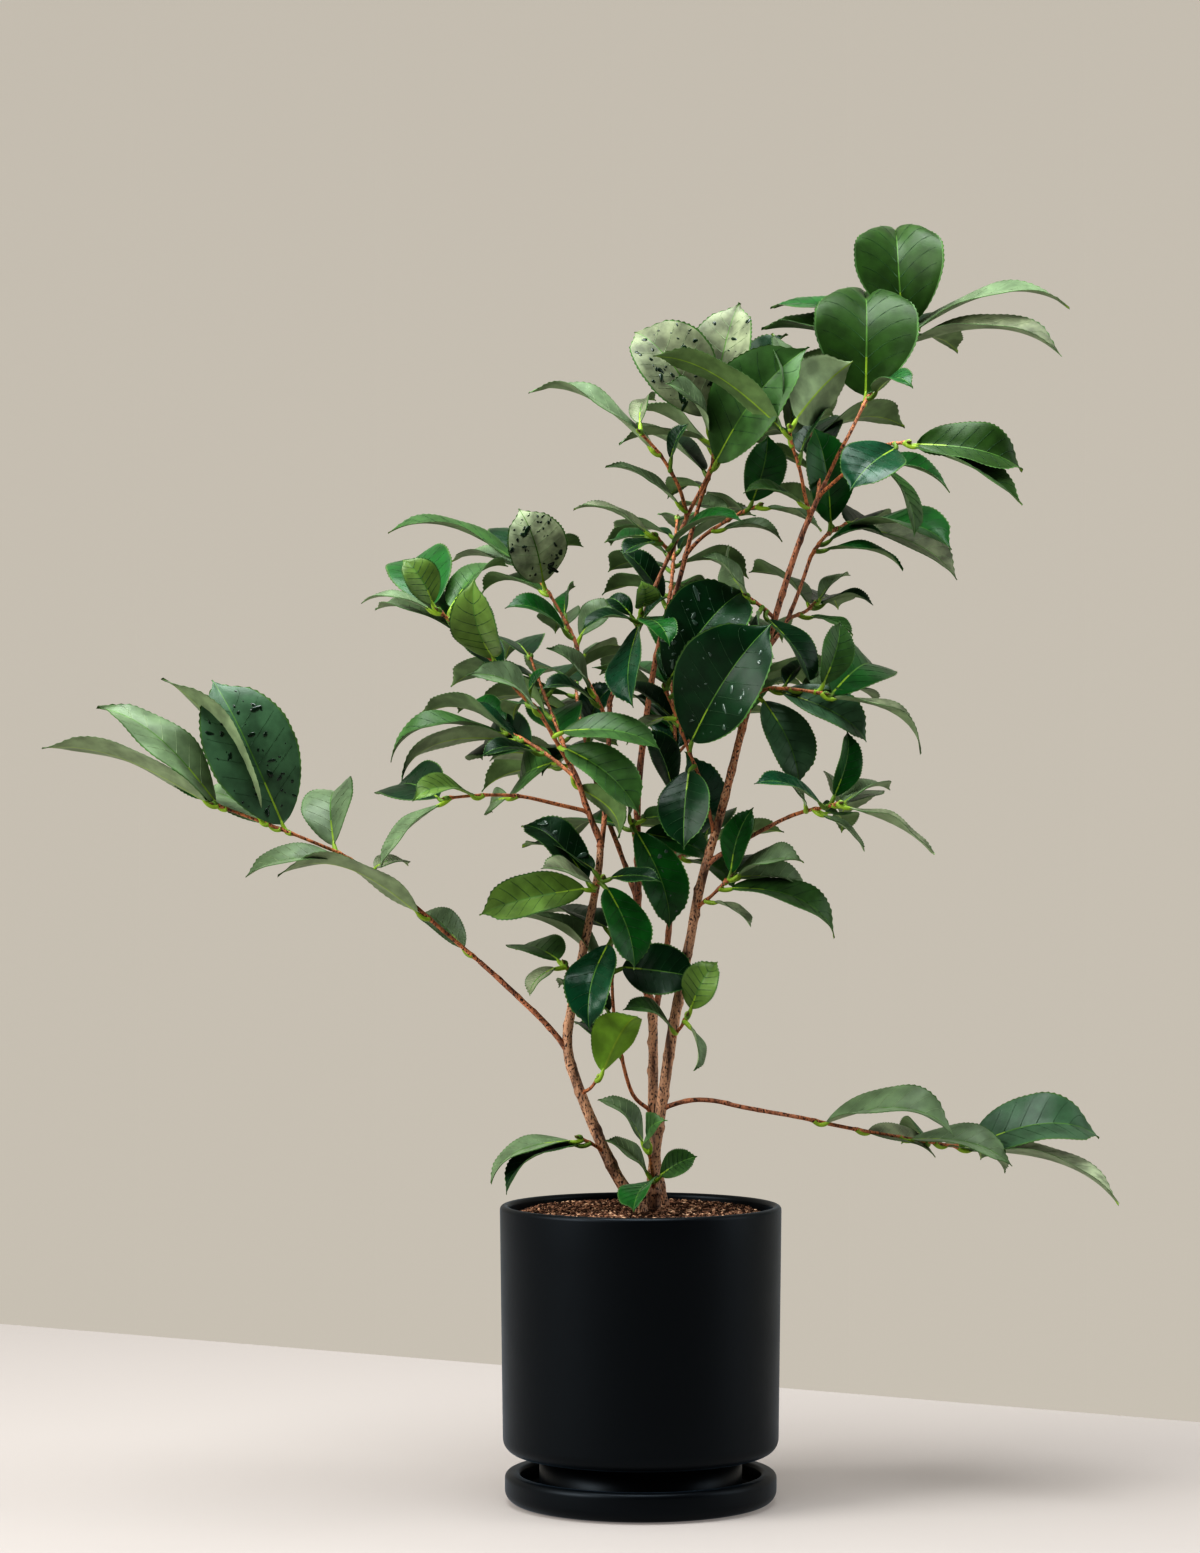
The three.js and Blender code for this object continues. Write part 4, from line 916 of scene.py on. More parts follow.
def blade_surface(leaf, s, v):
    """Points of a blade's middle surface, and its normals, at shares s along and v across."""
    random = seeded(leaf.seed * 7 + 3)
    bend = 0.05 * (random() - 0.5)
    wave = (2 * math.pi * random(), 2 * math.pi * random())
    depth = 0.02 * leaf.length * (0.4 + random())
    lopsided = 1 + 0.1 * (random() - 0.5) * np.sign(v)
    twist = math.radians(26 * (random() - 0.5))
    x, z = midrib(leaf.curl, s)
    side = half_width(s)[:, None] * v * lopsided * leaf.width * 0.5 * leaf.length
    out = np.abs(v)
    lobes = 0.0
    if leaf.curl > HEART_CURL:
        side = side * 1.12
        lobes = 0.42 * out * (1 - out) * leaf.length * np.sin(np.pi * s / 2)[:, None]
    ripple = np.where(v < 0, np.sin(2 * math.pi * 1.6 * s[:, None] + wave[0]),
                      np.sin(2 * math.pi * 1.6 * s[:, None] + wave[1]))
    phase = VEINS * (s[:, None] * 1.05 - 0.17 * out)
    puff = 0.4 * np.cos(2 * math.pi * phase) * out * (1 - out) * 3 * half_width(s)[:, None]
    rise = (
        z[:, None] * leaf.length
        + np.abs(side) * math.sin(leaf.fold) * (1.12 - 0.25 * out)
        + depth * ripple * out ** 2
        + puff
    )
    turn = twist * (s[:, None] - 0.4)
    across = side * math.cos(leaf.fold) * np.cos(turn)
    rise = rise + side * np.sin(turn)
    across = across + bend * leaf.length * np.sin(np.pi * s)[:, None]
    return (
        leaf.base
        + leaf.chord * ((x * leaf.length)[:, None] + lobes)[..., None]
        + leaf.across * across[..., None]
        + leaf.normal * rise[..., None]
    )


def surface_normals(points):
    """Unit normals of a grid of points."""
    along_s = np.gradient(points, axis=0)
    along_v = np.gradient(points, axis=1)
    normals = np.cross(along_s, along_v)
    return normals / np.maximum(np.linalg.norm(normals, axis=2, keepdims=True), 1e-9)


def columns_of(rib):
    """Shares across a blade, row by row: the edge, the steps in from it and the midrib."""
    inner = [-EDGE + (EDGE - rib) * share for share in STEPS_IN]
    left = [np.full_like(rib, -1), np.full_like(rib, -EDGE), *inner, -rib]
    return np.column_stack([*left, *(-column for column in reversed(left))])


def blade_tints(rows, top, under):
    """Material numbers of a blade's upper and lower faces."""
    petiole, rib, edge = numbers_of("petiole", "leaf_rib", "leaf_edge")
    strip = np.tile(np.arange(COLUMNS - 1), rows - 1)
    row = np.repeat(np.arange(rows - 1), COLUMNS - 1)
    on_rib = strip == RIB_COLUMNS[0]
    on_edge = (strip == 0) | (strip == COLUMNS - 2)
    rib_tint = np.where(row < RIB_PALE * rows, petiole, rib)
    upper = np.where(on_rib, rib_tint, np.where(on_edge, edge, top))
    return upper, np.where(on_rib, petiole, under)


def blade_rim(rows):
    """Quads that join a blade's upper points to its lower points, all round its edge."""
    below = rows * COLUMNS
    left = np.arange(rows) * COLUMNS
    first = np.arange(COLUMNS)

    def strip(edge, order):
        corners = edge[:-1], edge[1:], edge[1:] + below, edge[:-1] + below
        return np.stack([corners[k] for k in order], axis=1)

    return np.vstack([
        strip(left, (3, 0, 1, 2)),
        strip(left + COLUMNS - 1, (0, 3, 2, 1)),
        strip(first, (3, 2, 1, 0)),
        strip(first + (rows - 1) * COLUMNS, (0, 1, 2, 3)),
    ])


def add_blade(batch, leaf, top, under):
    """A toothed blade with thickness, its midrib standing out below."""
    s = np.linspace(0, 1, STATIONS + 1)
    rows = len(s)
    width = half_width(s) * leaf.width * 0.5 * leaf.length
    rib = np.minimum(mix(RIB_WIDTH, s) / np.maximum(width, 0.05), 0.7)
    middle = blade_surface(leaf, s, columns_of(rib))
    normals = surface_normals(middle)
    if np.sum(normals @ leaf.normal) < 0:
        normals = -normals
    teeth = np.zeros(rows)
    teeth[4:-3:2] = TOOTH
    for edge, beside in zip((0, COLUMNS - 1), RIB_COLUMNS):
        outward = middle[:, edge] - middle[:, beside]
        outward /= np.maximum(np.linalg.norm(outward, axis=1, keepdims=True), 1e-6)
        middle[:, edge] += (outward * 0.8 + leaf.chord * 0.5) * teeth[:, None]
    lift = np.full((rows, COLUMNS), HALF_THICK["blade"])
    lift[:, (0, COLUMNS - 1)] = HALF_THICK["edge"]
    drop = lift.copy()
    lift[:, RIB_COLUMNS] = HALF_THICK["rib_top"]
    drop[:, RIB_COLUMNS] = HALF_THICK["blade"] + RIB_DROP * mix((1, 0.2), s)[:, None]
    upper = (middle + normals * lift[..., None]).reshape(-1, 3)
    lower = (middle - normals * drop[..., None]).reshape(-1, 3)
    quads = grid_quads(rows, COLUMNS)
    rim = blade_rim(rows)
    edge_tint = numbers_of("leaf_edge")[0]
    batch.add(
        np.vstack([upper, lower]),
        np.vstack([quads[:, ::-1], quads + len(upper), rim]),
        np.concatenate([*blade_tints(rows, top, under), np.full(len(rim), edge_tint)]),
    )


def add_veins(batch, leaf, tint):
    """The fine side veins: low ridges from the midrib to near the edge, on the upper side."""
    steps = 7
    out = np.linspace(0.04, 0.86, steps)
    number = np.arange(1, VEINS)[:, None]
    s = ((number + 0.5) / VEINS + 0.17 * out) / 1.05 - 0.04
    s = np.concatenate([s, s]).ravel()
    v = np.concatenate([np.tile(out, VEINS - 1), -np.tile(out, VEINS - 1)])
    inside = s < 0.93
    grid = blade_surface(leaf, np.minimum(s, 0.93), np.stack([v - 0.03, v, v + 0.03], axis=1))
    paths = grid[:, 1].reshape(-1, steps, 3)
    across = (grid[:, 2] - grid[:, 0]).reshape(-1, steps, 3)
    whole = inside.reshape(-1, steps).all(axis=1)
    sides = tuple(range(3))
    for path, aside in zip(paths[whole], across[whole]):
        ahead = np.gradient(path, axis=0)
        normals = units(np.cross(ahead, aside))
        normals *= np.sign(normals @ leaf.normal)[:, None]
        width = units(np.cross(normals, ahead))
        half = np.linspace(0.26, 0.1, steps)[:, None]
        rings = np.stack([path + normals * 0.24 + width * half, path + normals * 0.42,
                          path + normals * 0.24 - width * half], axis=1)
        ends = np.array([sides + (2,), tuple((steps - 1) * 3 + k for k in (2, 1, 0, 0))])
        batch.add(rings.reshape(-1, 3), np.vstack([grid_quads(steps, 3, closed=True), ends]), tint)


def add_petiole(batch, leaf, tint):
    """The curved green stalk from the twig into the blade's midrib."""
    x, z = midrib(leaf.curl, (0.0, 0.03))
    lead = unit(leaf.chord * x[1] + leaf.normal * z[1])
    start, end = leaf.start, leaf.base + lead * 2.5
    bend = leaf.base - lead * LEAF["petiole"] * 0.6 - UP * 2.6
    t = np.linspace(0, 1, 11)[:, None]
    line = start * (1 - t) ** 2 + bend * 2 * t * (1 - t) + end * t ** 2
    radii = np.interp(t[:, 0], (0, 0.2, 0.75, 1), (2.1, 1.8, 1.65, 0.85))
    add_tube(batch, line, radii, 9, tint)


def add_bud(batch, point, direction, length, tints):
    """A pointed bud of three overlapping scales."""
    for k, (foot, size, wide) in enumerate(((0, 1, 1), (0.3, 0.86, 0.8), (0.55, 0.7, 0.55))):
        reach = length * size
        s = np.linspace(0, 1, 7)
        lean = square_to(np.array([math.cos(k * 2.4), math.sin(k * 2.4), 0.2]), direction)
        line = [point + direction * (length * foot * 0.6 + reach * share * 0.75)
                + lean * 0.14 * length * math.sin(share * math.pi) for share in s]
        radii = wide * length * 0.21 * np.sin(np.pi * (0.18 + 0.8 * s)) ** 0.8
        add_tube(batch, line, np.maximum(radii, 0.08), 8, tints[k])


def add_drops(batch, leaf, count, tint):
    """Drops of water lying on a blade's upper side."""
    random = seeded(leaf.seed * 11 + 5)
    for _ in range(count):
        s = 0.1 + 0.78 * random()
        v = (0.12 + 0.76 * random()) * (1 if random() > 0.5 else -1)
        size = 0.45 + 1.7 * random() ** 2
        grid = blade_surface(leaf, np.array([s, s + 0.02]), np.array([[v, v + 0.05]] * 2))
        centre = grid[0, 0]
        ahead = unit(grid[1, 0] - centre)
        normal = unit(np.cross(ahead, grid[0, 1] - centre))
        if np.dot(normal, leaf.normal) < 0:
            normal = -normal
        aside = np.cross(normal, ahead)
        stretch = 1 + 1.8 * random() ** 2
        spin = math.pi * random()
        ahead, aside = (ahead * math.cos(spin) + aside * math.sin(spin),
                        aside * math.cos(spin) - ahead * math.sin(spin))
        turns = turns_of(DROP_SIDES)
        uneven = 1 + 0.22 * np.sin(2 * turns + 6 * spin) + 0.14 * np.sin(3 * turns + 9 * spin)
        rings = []
        for height, reach in DROP_RINGS:
            rings.append(
                centre + normal * (DROP_LIFT + height * size * DROP_RISE)
                + np.outer(np.cos(turns) * uneven * reach * size * stretch, ahead)
                + np.outer(np.sin(turns) * uneven * reach * size, aside)
            )
        top = centre + normal * (DROP_LIFT + size * DROP_RISE)
        points = np.vstack(rings + [centre, top])
        batch.add(points, closed_quads(len(rings), DROP_SIDES), tint)


# ---- Bark ---------------------------------------------------------------------------------
def bark_shape(line, sides, seed, knots):
    """How far the bark stands in or out, by ring and side: ridges, pits and knots."""
    rings = np.array(line)
    turns = turns_of(sides)
    shape = np.ones((len(rings), sides))
    lengths = np.concatenate([[0], np.cumsum(np.linalg.norm(np.diff(rings, axis=0), axis=1))])
    for k in range(len(rings)):
        for j, turn in enumerate(turns):
            u = Vector((math.cos(turn) * 1.6 + seed, math.sin(turn) * 1.6, lengths[k] * 0.09))
            w = Vector((math.cos(turn) * 4 + seed, math.sin(turn) * 4, lengths[k] * 0.5))
            shape[k, j] += 0.1 * noise.noise(u) + 0.055 * noise.noise(w)
    for centre, height, turn in knots:
        gap = (lengths - centre) / 2.6
        swell = np.exp(-gap * gap)[:, None] * (0.5 + 0.5 * np.cos(turns - turn))[None]
        shape += height * swell
    return shape


LIMB_SIDES = 20
SUNK = 6  # mm that a stem's foot reaches down into the peat
REDDENS = (430, 640)  # mm; between these heights a stem's bark turns from tan to red


def stem_tints(fine, seed):
    """Material numbers up a stem: tan at its foot, red higher up, one sprayed into the other."""
    spray = np.random.default_rng(seed).random((len(fine) - 1, LIMB_SIDES))
    share = np.clip((fine[1:, 2] - REDDENS[0]) / (REDDENS[1] - REDDENS[0]), 0, 1)
    red = (spray < share[:, None]).astype(int).ravel()
    ends = np.repeat([0, int(share[-1] > 0.5)], LIMB_SIDES)
    return np.concatenate([red, ends])


def add_limb(batch, limb, seed, is_stem):
    """A stem or bough with its bark, a collar where it joins and a knot at each old node."""
    foot = limb.line[0] - UP * SUNK if limb.inside is None else limb.inside
    line = [foot, *limb.line]
    length = along(line, 1).length
    fine = resample(line, 1.5)
    shares = np.linspace(0, 1, len(fine))
    radii = np.array([limb.radius_at(share) for share in shares])
    if limb.inside is not None:
        radii = radii * (1 + 0.35 * np.exp(-shares * length / 3.5))
    random = seeded(seed)
    knots, reach = [], 12 + 10 * random()
    while reach < length - 8:
        knots.append((reach, 0.16 + 0.2 * random(), 2 * math.pi * random()))
        reach += 15 + 18 * random()
    shape = bark_shape(fine, LIMB_SIDES, seed, knots)
    tints = stem_tints(fine, seed) if is_stem else 0
    add_tube(batch, fine, radii, LIMB_SIDES, tints, shape)


def add_twig(batch, twig):
    """An orange twig with a knuckle at each leaf."""
    inside = [] if twig.inside is None else [twig.inside]
    fine = resample([*inside, *twig.line], 2.0)
    shares = np.linspace(0, 1, len(fine))
    radii = np.array([twig.radius_at(share) for share in shares])
    for leaf in twig.leaves:
        gaps = np.linalg.norm(fine - leaf.start, axis=1)
        radii = radii + 0.45 * np.exp(-((gaps / 2.2) ** 2))
    add_tube(batch, fine, np.minimum(radii, 2.3), 10, 0)


# ---- Materials ------------------------------------------------------------------------------
def material(name, colour, roughness, **sockets):
    """A material of one colour, with any other sockets given by name."""
    made = bpy.data.materials.new(name)
    made.use_nodes = True
    shader = made.node_tree.nodes["Principled BSDF"]
    shader.inputs["Base Color"].default_value = (*colour, 1)
    shader.inputs["Roughness"].default_value = roughness
    for socket, value in sockets.items():
        shader.inputs[socket.replace("_", " ")].default_value = value
    return made


def node(made, kind, links=(), **settings):
    """A node in a material, its sockets set or linked."""
    tree = made.node_tree
    new = tree.nodes.new(kind)
    for key, value in settings.items():
        setattr(new, key, value)
    for socket, source in links:
        if isinstance(source, (int, float, tuple)):
            new.inputs[socket].default_value = source
        else:
            tree.links.new(source, new.inputs[socket])
    return new


def link(made, output, socket):
    shader = made.node_tree.nodes["Principled BSDF"]
    made.node_tree.links.new(output, shader.inputs[socket])


def ramp(made, source, stops):
    new = node(made, "ShaderNodeValToRGB", [("Fac", source)])
    elements = new.color_ramp.elements
    while len(elements) < len(stops):
        elements.new(0.5)
    for element, (position, colour) in zip(elements, stops):
        element.position = position
        element.color = (*colour, 1)
    return new.outputs["Color"]


def speckle(made, scale, detail=4, stretch=(1, 1, 1)):
    """Noise laid in the object's own space, in features of 1/scale metres."""
    where = node(made, "ShaderNodeTexCoord").outputs["Object"]
    laid = node(made, "ShaderNodeMapping", [("Vector", where), ("Scale", stretch)])
    new = node(made, "ShaderNodeTexNoise", [("Vector", laid.outputs["Vector"]),
                                            ("Scale", scale), ("Detail", detail)])
    return new.outputs["Fac"]


def vary_gloss(made, source, low, high):
    """Roughness between two values, after a pattern."""
    new = node(made, "ShaderNodeMapRange", [("Value", source), ("To Min", low), ("To Max", high)])
    link(made, new.outputs["Result"], "Roughness")


def bump(made, source, height, strength):
    """Relief after a pattern, its height in metres."""
    new = node(made, "ShaderNodeBump", [("Height", source), ("Distance", height),
                                        ("Strength", strength)])
    link(made, new.outputs["Normal"], "Normal")


def leaf_material(name, colour, roughness, coat, mottle=0.22):
    """A leathery skin: one green, lighter and darker in soft patches, under a thin gloss."""
    made = material(name, colour, roughness, Specular_IOR_Level=0.22, Coat_Weight=coat,
                    Coat_Roughness=0.25, Sheen_Weight=0.08, Sheen_Roughness=0.45,
                    Sheen_Tint=(0.85, 1, 0.8, 1))
    low, high = (tuple(c * (1 + side * mottle) for c in colour) for side in (-1, 1))
    patches = speckle(made, 75, 3)
    link(made, ramp(made, patches, [(0.36, low), (0.64, high)]), "Base Color")
    vary_gloss(made, speckle(made, 140, 2), roughness - 0.07, roughness + 0.07)
    bump(made, speckle(made, 900, 2), 0.0001, 0.35)
    return made


def bark_material(name, low, high, fleck):
    """Bark: two browns in long streaks, the lighter brown and a still paler stop partly painted
    highlight, with dark flecks.
    """
    made = material(name, high, 0.55, Specular_IOR_Level=0.45)
    streak = speckle(made, 160, 5, (1, 1, 0.22))
    grain = speckle(made, 800, 3, (1, 1, 0.6))
    # The third stop, half again as light as the high brown, is a painted highlight laid along the
    # streaks.
    body = ramp(made, streak, [(0.32, low), (0.5, high), (0.7, tuple(c * 1.45 for c in high))])
    dots = ramp(made, grain, [(0.54, (0, 0, 0)), (0.60, (1, 1, 1))])
    # The sockets of a mix of colours: share 0, colours 6 and 7, and the result 2.
    sockets = [(0, dots), (6, body), (7, (*fleck, 1))]
    blend = node(made, "ShaderNodeMix", sockets, data_type="RGBA")
    link(made, blend.outputs[2], "Base Color")
    bump(made, grain, 0.0006, 0.7)
    return made


def glaze_material(name, colour):
    """Satin black glaze: a soft body with a faint mottle in its gloss."""
    # The blue tints of the specular gloss and the sheen are a painted reflection: they give the
    # glaze's edges the cool colour of the light round it.
    made = material(name, colour, 0.4, Specular_IOR_Level=0.26,
                    Specular_Tint=(0.76, 0.89, 1, 1), Sheen_Weight=0.12,
                    Sheen_Roughness=0.35, Sheen_Tint=(0.45, 0.72, 1, 1))
    vary_gloss(made, speckle(made, 45, 3), 0.38, 0.47)
    bump(made, speckle(made, 260, 2), 0.0002, 0.2)
    return made


def peat_material(name, dark, light):
    """Crumbly matt peat in two browns."""
    made = material(name, dark, 0.9, Specular_IOR_Level=0.2)
    link(made, ramp(made, speckle(made, 420, 5), [(0.35, dark), (0.65, light)]), "Base Color")
    bump(made, speckle(made, 700, 4), 0.0008, 0.8)
    return made


def make_materials():
    """Every material, filed under what it is for."""
    return SimpleNamespace(
        leaf=[leaf_material(name, *given) for name, given in LEAF_COLOURS.items()],
        twig=[bark_material("twig_orange", (0.22, 0.075, 0.028), (0.42, 0.165, 0.07),
                            (0.06, 0.025, 0.015))],
        bark=[
            bark_material("bark_tan", (0.12, 0.060, 0.036), (0.50, 0.290, 0.180),
                          (0.045, 0.022, 0.014)),
            bark_material("bark_red", (0.10, 0.040, 0.022), (0.40, 0.170, 0.090),
                          (0.04, 0.018, 0.012)),
        ],
        bud=[
            leaf_material("bud_green", (0.11, 0.20, 0.03), 0.42, 0.2),
            leaf_material("bud_pale", (0.26, 0.38, 0.06), 0.42, 0.2),
            leaf_material("bud_tip", (0.09, 0.07, 0.02), 0.5, 0.1),
        ],
        # The drops' colours are painted light: the dark green stands in for the leaf seen through
        # the water, the lighter one for the glints on drops lying on dark leaves.
        drop=[leaf_material("drop_dark", (0.003, 0.018, 0.006), 0.14, 0.5),
              leaf_material("drop_clear", (0.045, 0.085, 0.06), 0.1, 1.0)],
        pot=[glaze_material("glaze_black", (0.0015, 0.0020, 0.0028))],
        soil=[
            peat_material("peat_dark", (0.035, 0.018, 0.012), (0.12, 0.062, 0.040)),
            peat_material("peat_brown", (0.19, 0.098, 0.062), (0.42, 0.235, 0.150)),
            peat_material("peat_fleck", (0.6, 0.35, 0.21), (0.85, 0.6, 0.42)),
        ],
    )


# ---- Plant ----------------------------------------------------------------------------------

def faces_of(leaf):
    """Material numbers of a leaf's upper side and underside."""
    mass, number = leaf.key
    given = LOOKS.get(mass, "").split()
    pick = seeded(leaf.seed * 13 + 1)()
    if number < len(given):
        look = given[number]
    else:
        for look, often in RULED_LOOKS:
            pick -= often
            if pick < 0:
                break
    return numbers_of(*FACES[look])


def build_plant(masses, finish):
    """Leaves in pieces of foliage, each in place of whole masses, then twigs, buds and water."""
    pending = [mass.name for mass in masses]
    batch, number = Batch(), 1
    twigs, buds, drops = Batch(), Batch(), Batch()
    stalks = numbers_of("stalk", "petiole")
    bright = numbers_of(*BRIGHT_STALKED)
    veins = numbers_of("leaf_vein", "under_pale")
    palest = numbers_of("leaf_grey", "leaf_pale", "leaf_wan")
    for mass in masses:
        for twig in mass.twigs:
            add_twig(twigs, twig)
            tip = along(twig.line, 1)
            add_bud(buds, tip.point, tip.direction, 8, (0, 1, 2))
            for leaf in twig.leaves:
                top, under = faces_of(leaf)
                add_blade(batch, leaf, top, under)
                add_veins(batch, leaf, veins[top in palest])
                add_petiole(batch, leaf, stalks[top in bright])
                out = unit(leaf.along * 1.2 + unit(leaf.base - leaf.start) * 0.8)
                if leaf.seed % 2:
                    add_bud(buds, leaf.start + out * 0.8, out, 4.2, (0, 0, 1))
                add_drops(drops, leaf, WET.get(leaf.key, 0), 0 if top in bright else 1)
        if batch.faces() > MOST_FACES or mass is masses[-1]:
            done = pending[: pending.index(mass.name) + 1]
            pending = pending[len(done):]
            batch.build(f"foliage_{number}", finish.leaf, "leaves", *done)
            batch, number = Batch(), number + 1
    twigs.build("twigs", finish.twig, "bough")
    buds.build("buds", finish.bud, "leaves")
    drops.build("water_drops", finish.drop, "leaves")


def build_limbs(limbs, finish):
    """The stems as one piece and the boughs as another, in place of their solids."""
    seeds = {name: 40 + k for k, name in enumerate(limbs)}
    for kind, bark in (("stem", finish.bark), ("bough", finish.bark[1:])):
        names = [name for name in limbs if name.startswith(kind)]
        batch = Batch()
        for name in names:
            add_limb(batch, limbs[name], seeds[name], kind == "stem")
        batch.build(f"{kind}s", bark, kind, *names)


# ---- Pot, saucer and soil ---------------------------------------------------------------------
TURN_SIDES = 144
SOIL_SIDES = 120
SOIL_LOWER = 0.8  # mm that the mound lies under its crumbs
CRUMBS = 5200
CRUMB_SIDES = 5
CRUMB_SHARES = (0.5, 0.88)  # dark crumbs up to the first share, brown ones up to the second


def arc(centre, radius, start, end, steps):
    """Points on part of a circle, from one turn to another in degrees."""
    turns = np.radians(np.linspace(start, end, steps + 1))
    return [(centre[0] + radius * math.cos(t), centre[1] + radius * math.sin(t)) for t in turns]


def turned(name, profile, finish, slot, *nodes):
    """A smooth solid turned round the pot's axis from (radius, height) pairs."""
    batch = Batch()
    rim = np.array([p for p in profile if p[0] > 0])
    turns = turns_of(TURN_SIDES)
    points = np.stack([
        np.outer(rim[:, 0], np.cos(turns)),
        np.outer(rim[:, 0], np.sin(turns)),
        np.repeat(rim[:, 1:], TURN_SIDES, axis=1),
    ], axis=2).reshape(-1, 3)
    points = np.vstack([points, (0, 0, profile[0][1]), (0, 0, profile[-1][1])])
    batch.add(points, closed_quads(len(rim), TURN_SIDES), 0)
    batch.build(name, finish, slot, *nodes)


def build_pot(finish):
    """The pot on its narrow foot ring, and the saucer under it."""
    lip = POT["wall"] / 2
    inner = POT["rim_radius"] - POT["wall"]
    floor = POT["body_underside"] + POT["floor"]
    foot = SAUCER["floor"] + GAP
    under = POT["body_underside"]
    bend = POT["bottom_round"]
    wall = [(mix((POT["body_radius"], POT["rim_radius"]), k / 6),
             mix((under + bend, POT["rim_height"] - lip), k / 6)) for k in range(1, 6)]
    turned("pot_glazed", [
        (0, foot),
        *arc((POT["foot_radius"] - 1.5, foot + 1.5), 1.5, -90, 0, 3),
        (POT["foot_radius"], under - 2),
        *arc((POT["foot_radius"] + 2, under - 2), 2, 180, 90, 3),
        *arc((POT["body_radius"] - bend, under + bend), bend, -88, 0, 10),
        *wall,
        *arc((POT["rim_radius"] - lip, POT["rim_height"] - lip), lip, 0, 180, 14),
        (inner, POT["rim_height"] - 12),
        (inner, floor + 6),
        (inner - 6, floor),
        (0, floor),
    ], finish.pot, "pot", "pot")
    crest = SAUCER["radius"] - SAUCER["crest_radius"]
    well = SAUCER["well_radius"]
    turned("saucer_glazed", [
        (0, 0),
        *arc((SAUCER["radius"] - SAUCER["bottom_round"], SAUCER["bottom_round"]),
             SAUCER["bottom_round"], -90, 0, 10),
        *arc((SAUCER["crest_radius"], SAUCER["height"] - crest), crest, 0, 90, 8),
        (well + 3.4, SAUCER["height"] - 0.3),
        *arc((well + 3, SAUCER["height"] - 3.3), 3, 90, 180, 5),
        (well - 0.4, SAUCER["floor"] + 5),
        *arc((well - 3.4, SAUCER["floor"] + 3), 3, 0, -90, 4),
        (0, SAUCER["floor"]),
    ], finish.pot, "saucer", "saucer")


def peat_top(radius, edge):
    """Height of the peat at a radius: level, then falling to the wall of the pot."""
    shoulder = SOIL["shoulder_radius"]
    fall = max(0.0, (radius - shoulder) / (edge - shoulder))
    return mix((SOIL["top"], SOIL["edge_height"]), fall ** 1.4)


def add_crumb(batch, random, edge):
    """One crumb or fibre of peat: a flattened double cone, lying where chance puts it."""
    radius = (edge - 1.6) * math.sqrt(random())
    turn = 2 * math.pi * random()
    size = 0.5 + 1.5 * random() ** 2
    reach = size * (1 + 1.6 * random() ** 2)
    centre = np.array([radius * math.cos(turn), radius * math.sin(turn),
                       peat_top(radius, edge) - 0.4 + 0.7 * random()])
    spin = 2 * math.pi * random()
    ahead = unit(np.array([math.cos(spin), math.sin(spin), 0.7 * (random() - 0.5)]))
    aside = square_to(np.array([-math.sin(spin), math.cos(spin), 0.3]), ahead)
    rise = np.cross(ahead, aside)
    corners = [centre + ahead * reach, centre - ahead * reach * 0.9]
    for k in range(CRUMB_SIDES):
        t = 2 * math.pi * (k + 0.6 * random()) / CRUMB_SIDES
        thick = size * (0.5 + 0.4 * random())
        corners.insert(-1, centre + aside * math.cos(t) * thick
                       + rise * math.sin(t) * thick * 0.8)
    ring = np.arange(1, CRUMB_SIDES + 1)
    faces = np.vstack([fan(0, ring), fan(CRUMB_SIDES + 1, ring[::-1])])
    pick = random()
    batch.add(np.array(corners), faces, sum(pick >= share for share in CRUMB_SHARES))


def build_soil(finish):
    """Peat: a rough mound under a litter of crumbs, fibres and orange flecks."""
    edge = POT["rim_radius"] - POT["wall"] - GAP
    base = POT["body_underside"] + POT["floor"] + GAP
    turns = turns_of(SOIL_SIDES)
    low = np.full(SOIL_SIDES, base)
    rows = [np.stack([edge * np.cos(turns), edge * np.sin(turns), low], axis=1)]
    radii = np.concatenate([np.linspace(2, 80, 40), np.linspace(82, edge, 8)])
    for radius in radii[::-1]:
        row = []
        for turn in turns:
            x, y = radius * math.cos(turn), radius * math.sin(turn)
            rough = 1.5 * noise.noise(Vector((x * 0.13, y * 0.13, 3.1)))
            row.append((x, y, peat_top(radius, edge) - SOIL_LOWER + rough))
        rows.append(np.array(row))
    batch = Batch()
    points = np.vstack(rows + [[(0, 0, base), (0, 0, SOIL["top"] - SOIL_LOWER)]])
    batch.add(points, closed_quads(len(rows), SOIL_SIDES), 0)
    random = seeded(77)
    for _ in range(CRUMBS):
        add_crumb(batch, random, edge)
    batch.build("peat", finish.soil, "soil", "soil")


# ---- Camera, lights and stage -------------------------------------------------------------------
CAMERA = dict(lens=86.6, sensor=36, stand=(-0.0293, -2.7, 0.4682), tip=91.127)


def place_camera():
    """A long lens, level with the middle of the plant and tipped a little up."""
    camera = bpy.data.cameras.new("camera")
    camera.lens = CAMERA["lens"]
    camera.sensor_width = CAMERA["sensor"]
    camera.dof.use_dof = False
    seen = bpy.data.objects.new("camera", camera)
    seen.location = CAMERA["stand"]
    seen.rotation_euler = (math.radians(CAMERA["tip"]), 0, 0)
    bpy.context.scene.collection.objects.link(seen)
    bpy.context.scene.camera = seen


def area_light(name, stand, target, size, power, colour):
    """A panel of light that faces a point."""
    lamp = bpy.data.lights.new(name, "AREA")
    lamp.shape = "RECTANGLE"
    lamp.size, lamp.size_y = size
    lamp.energy = power
    lamp.color = colour
    light = bpy.data.objects.new(name, lamp)
    light.location = stand
    aim = Vector(target) - Vector(stand)
    light.rotation_euler = aim.to_track_quat("-Z", "Y").to_euler()
    bpy.context.scene.collection.objects.link(light)


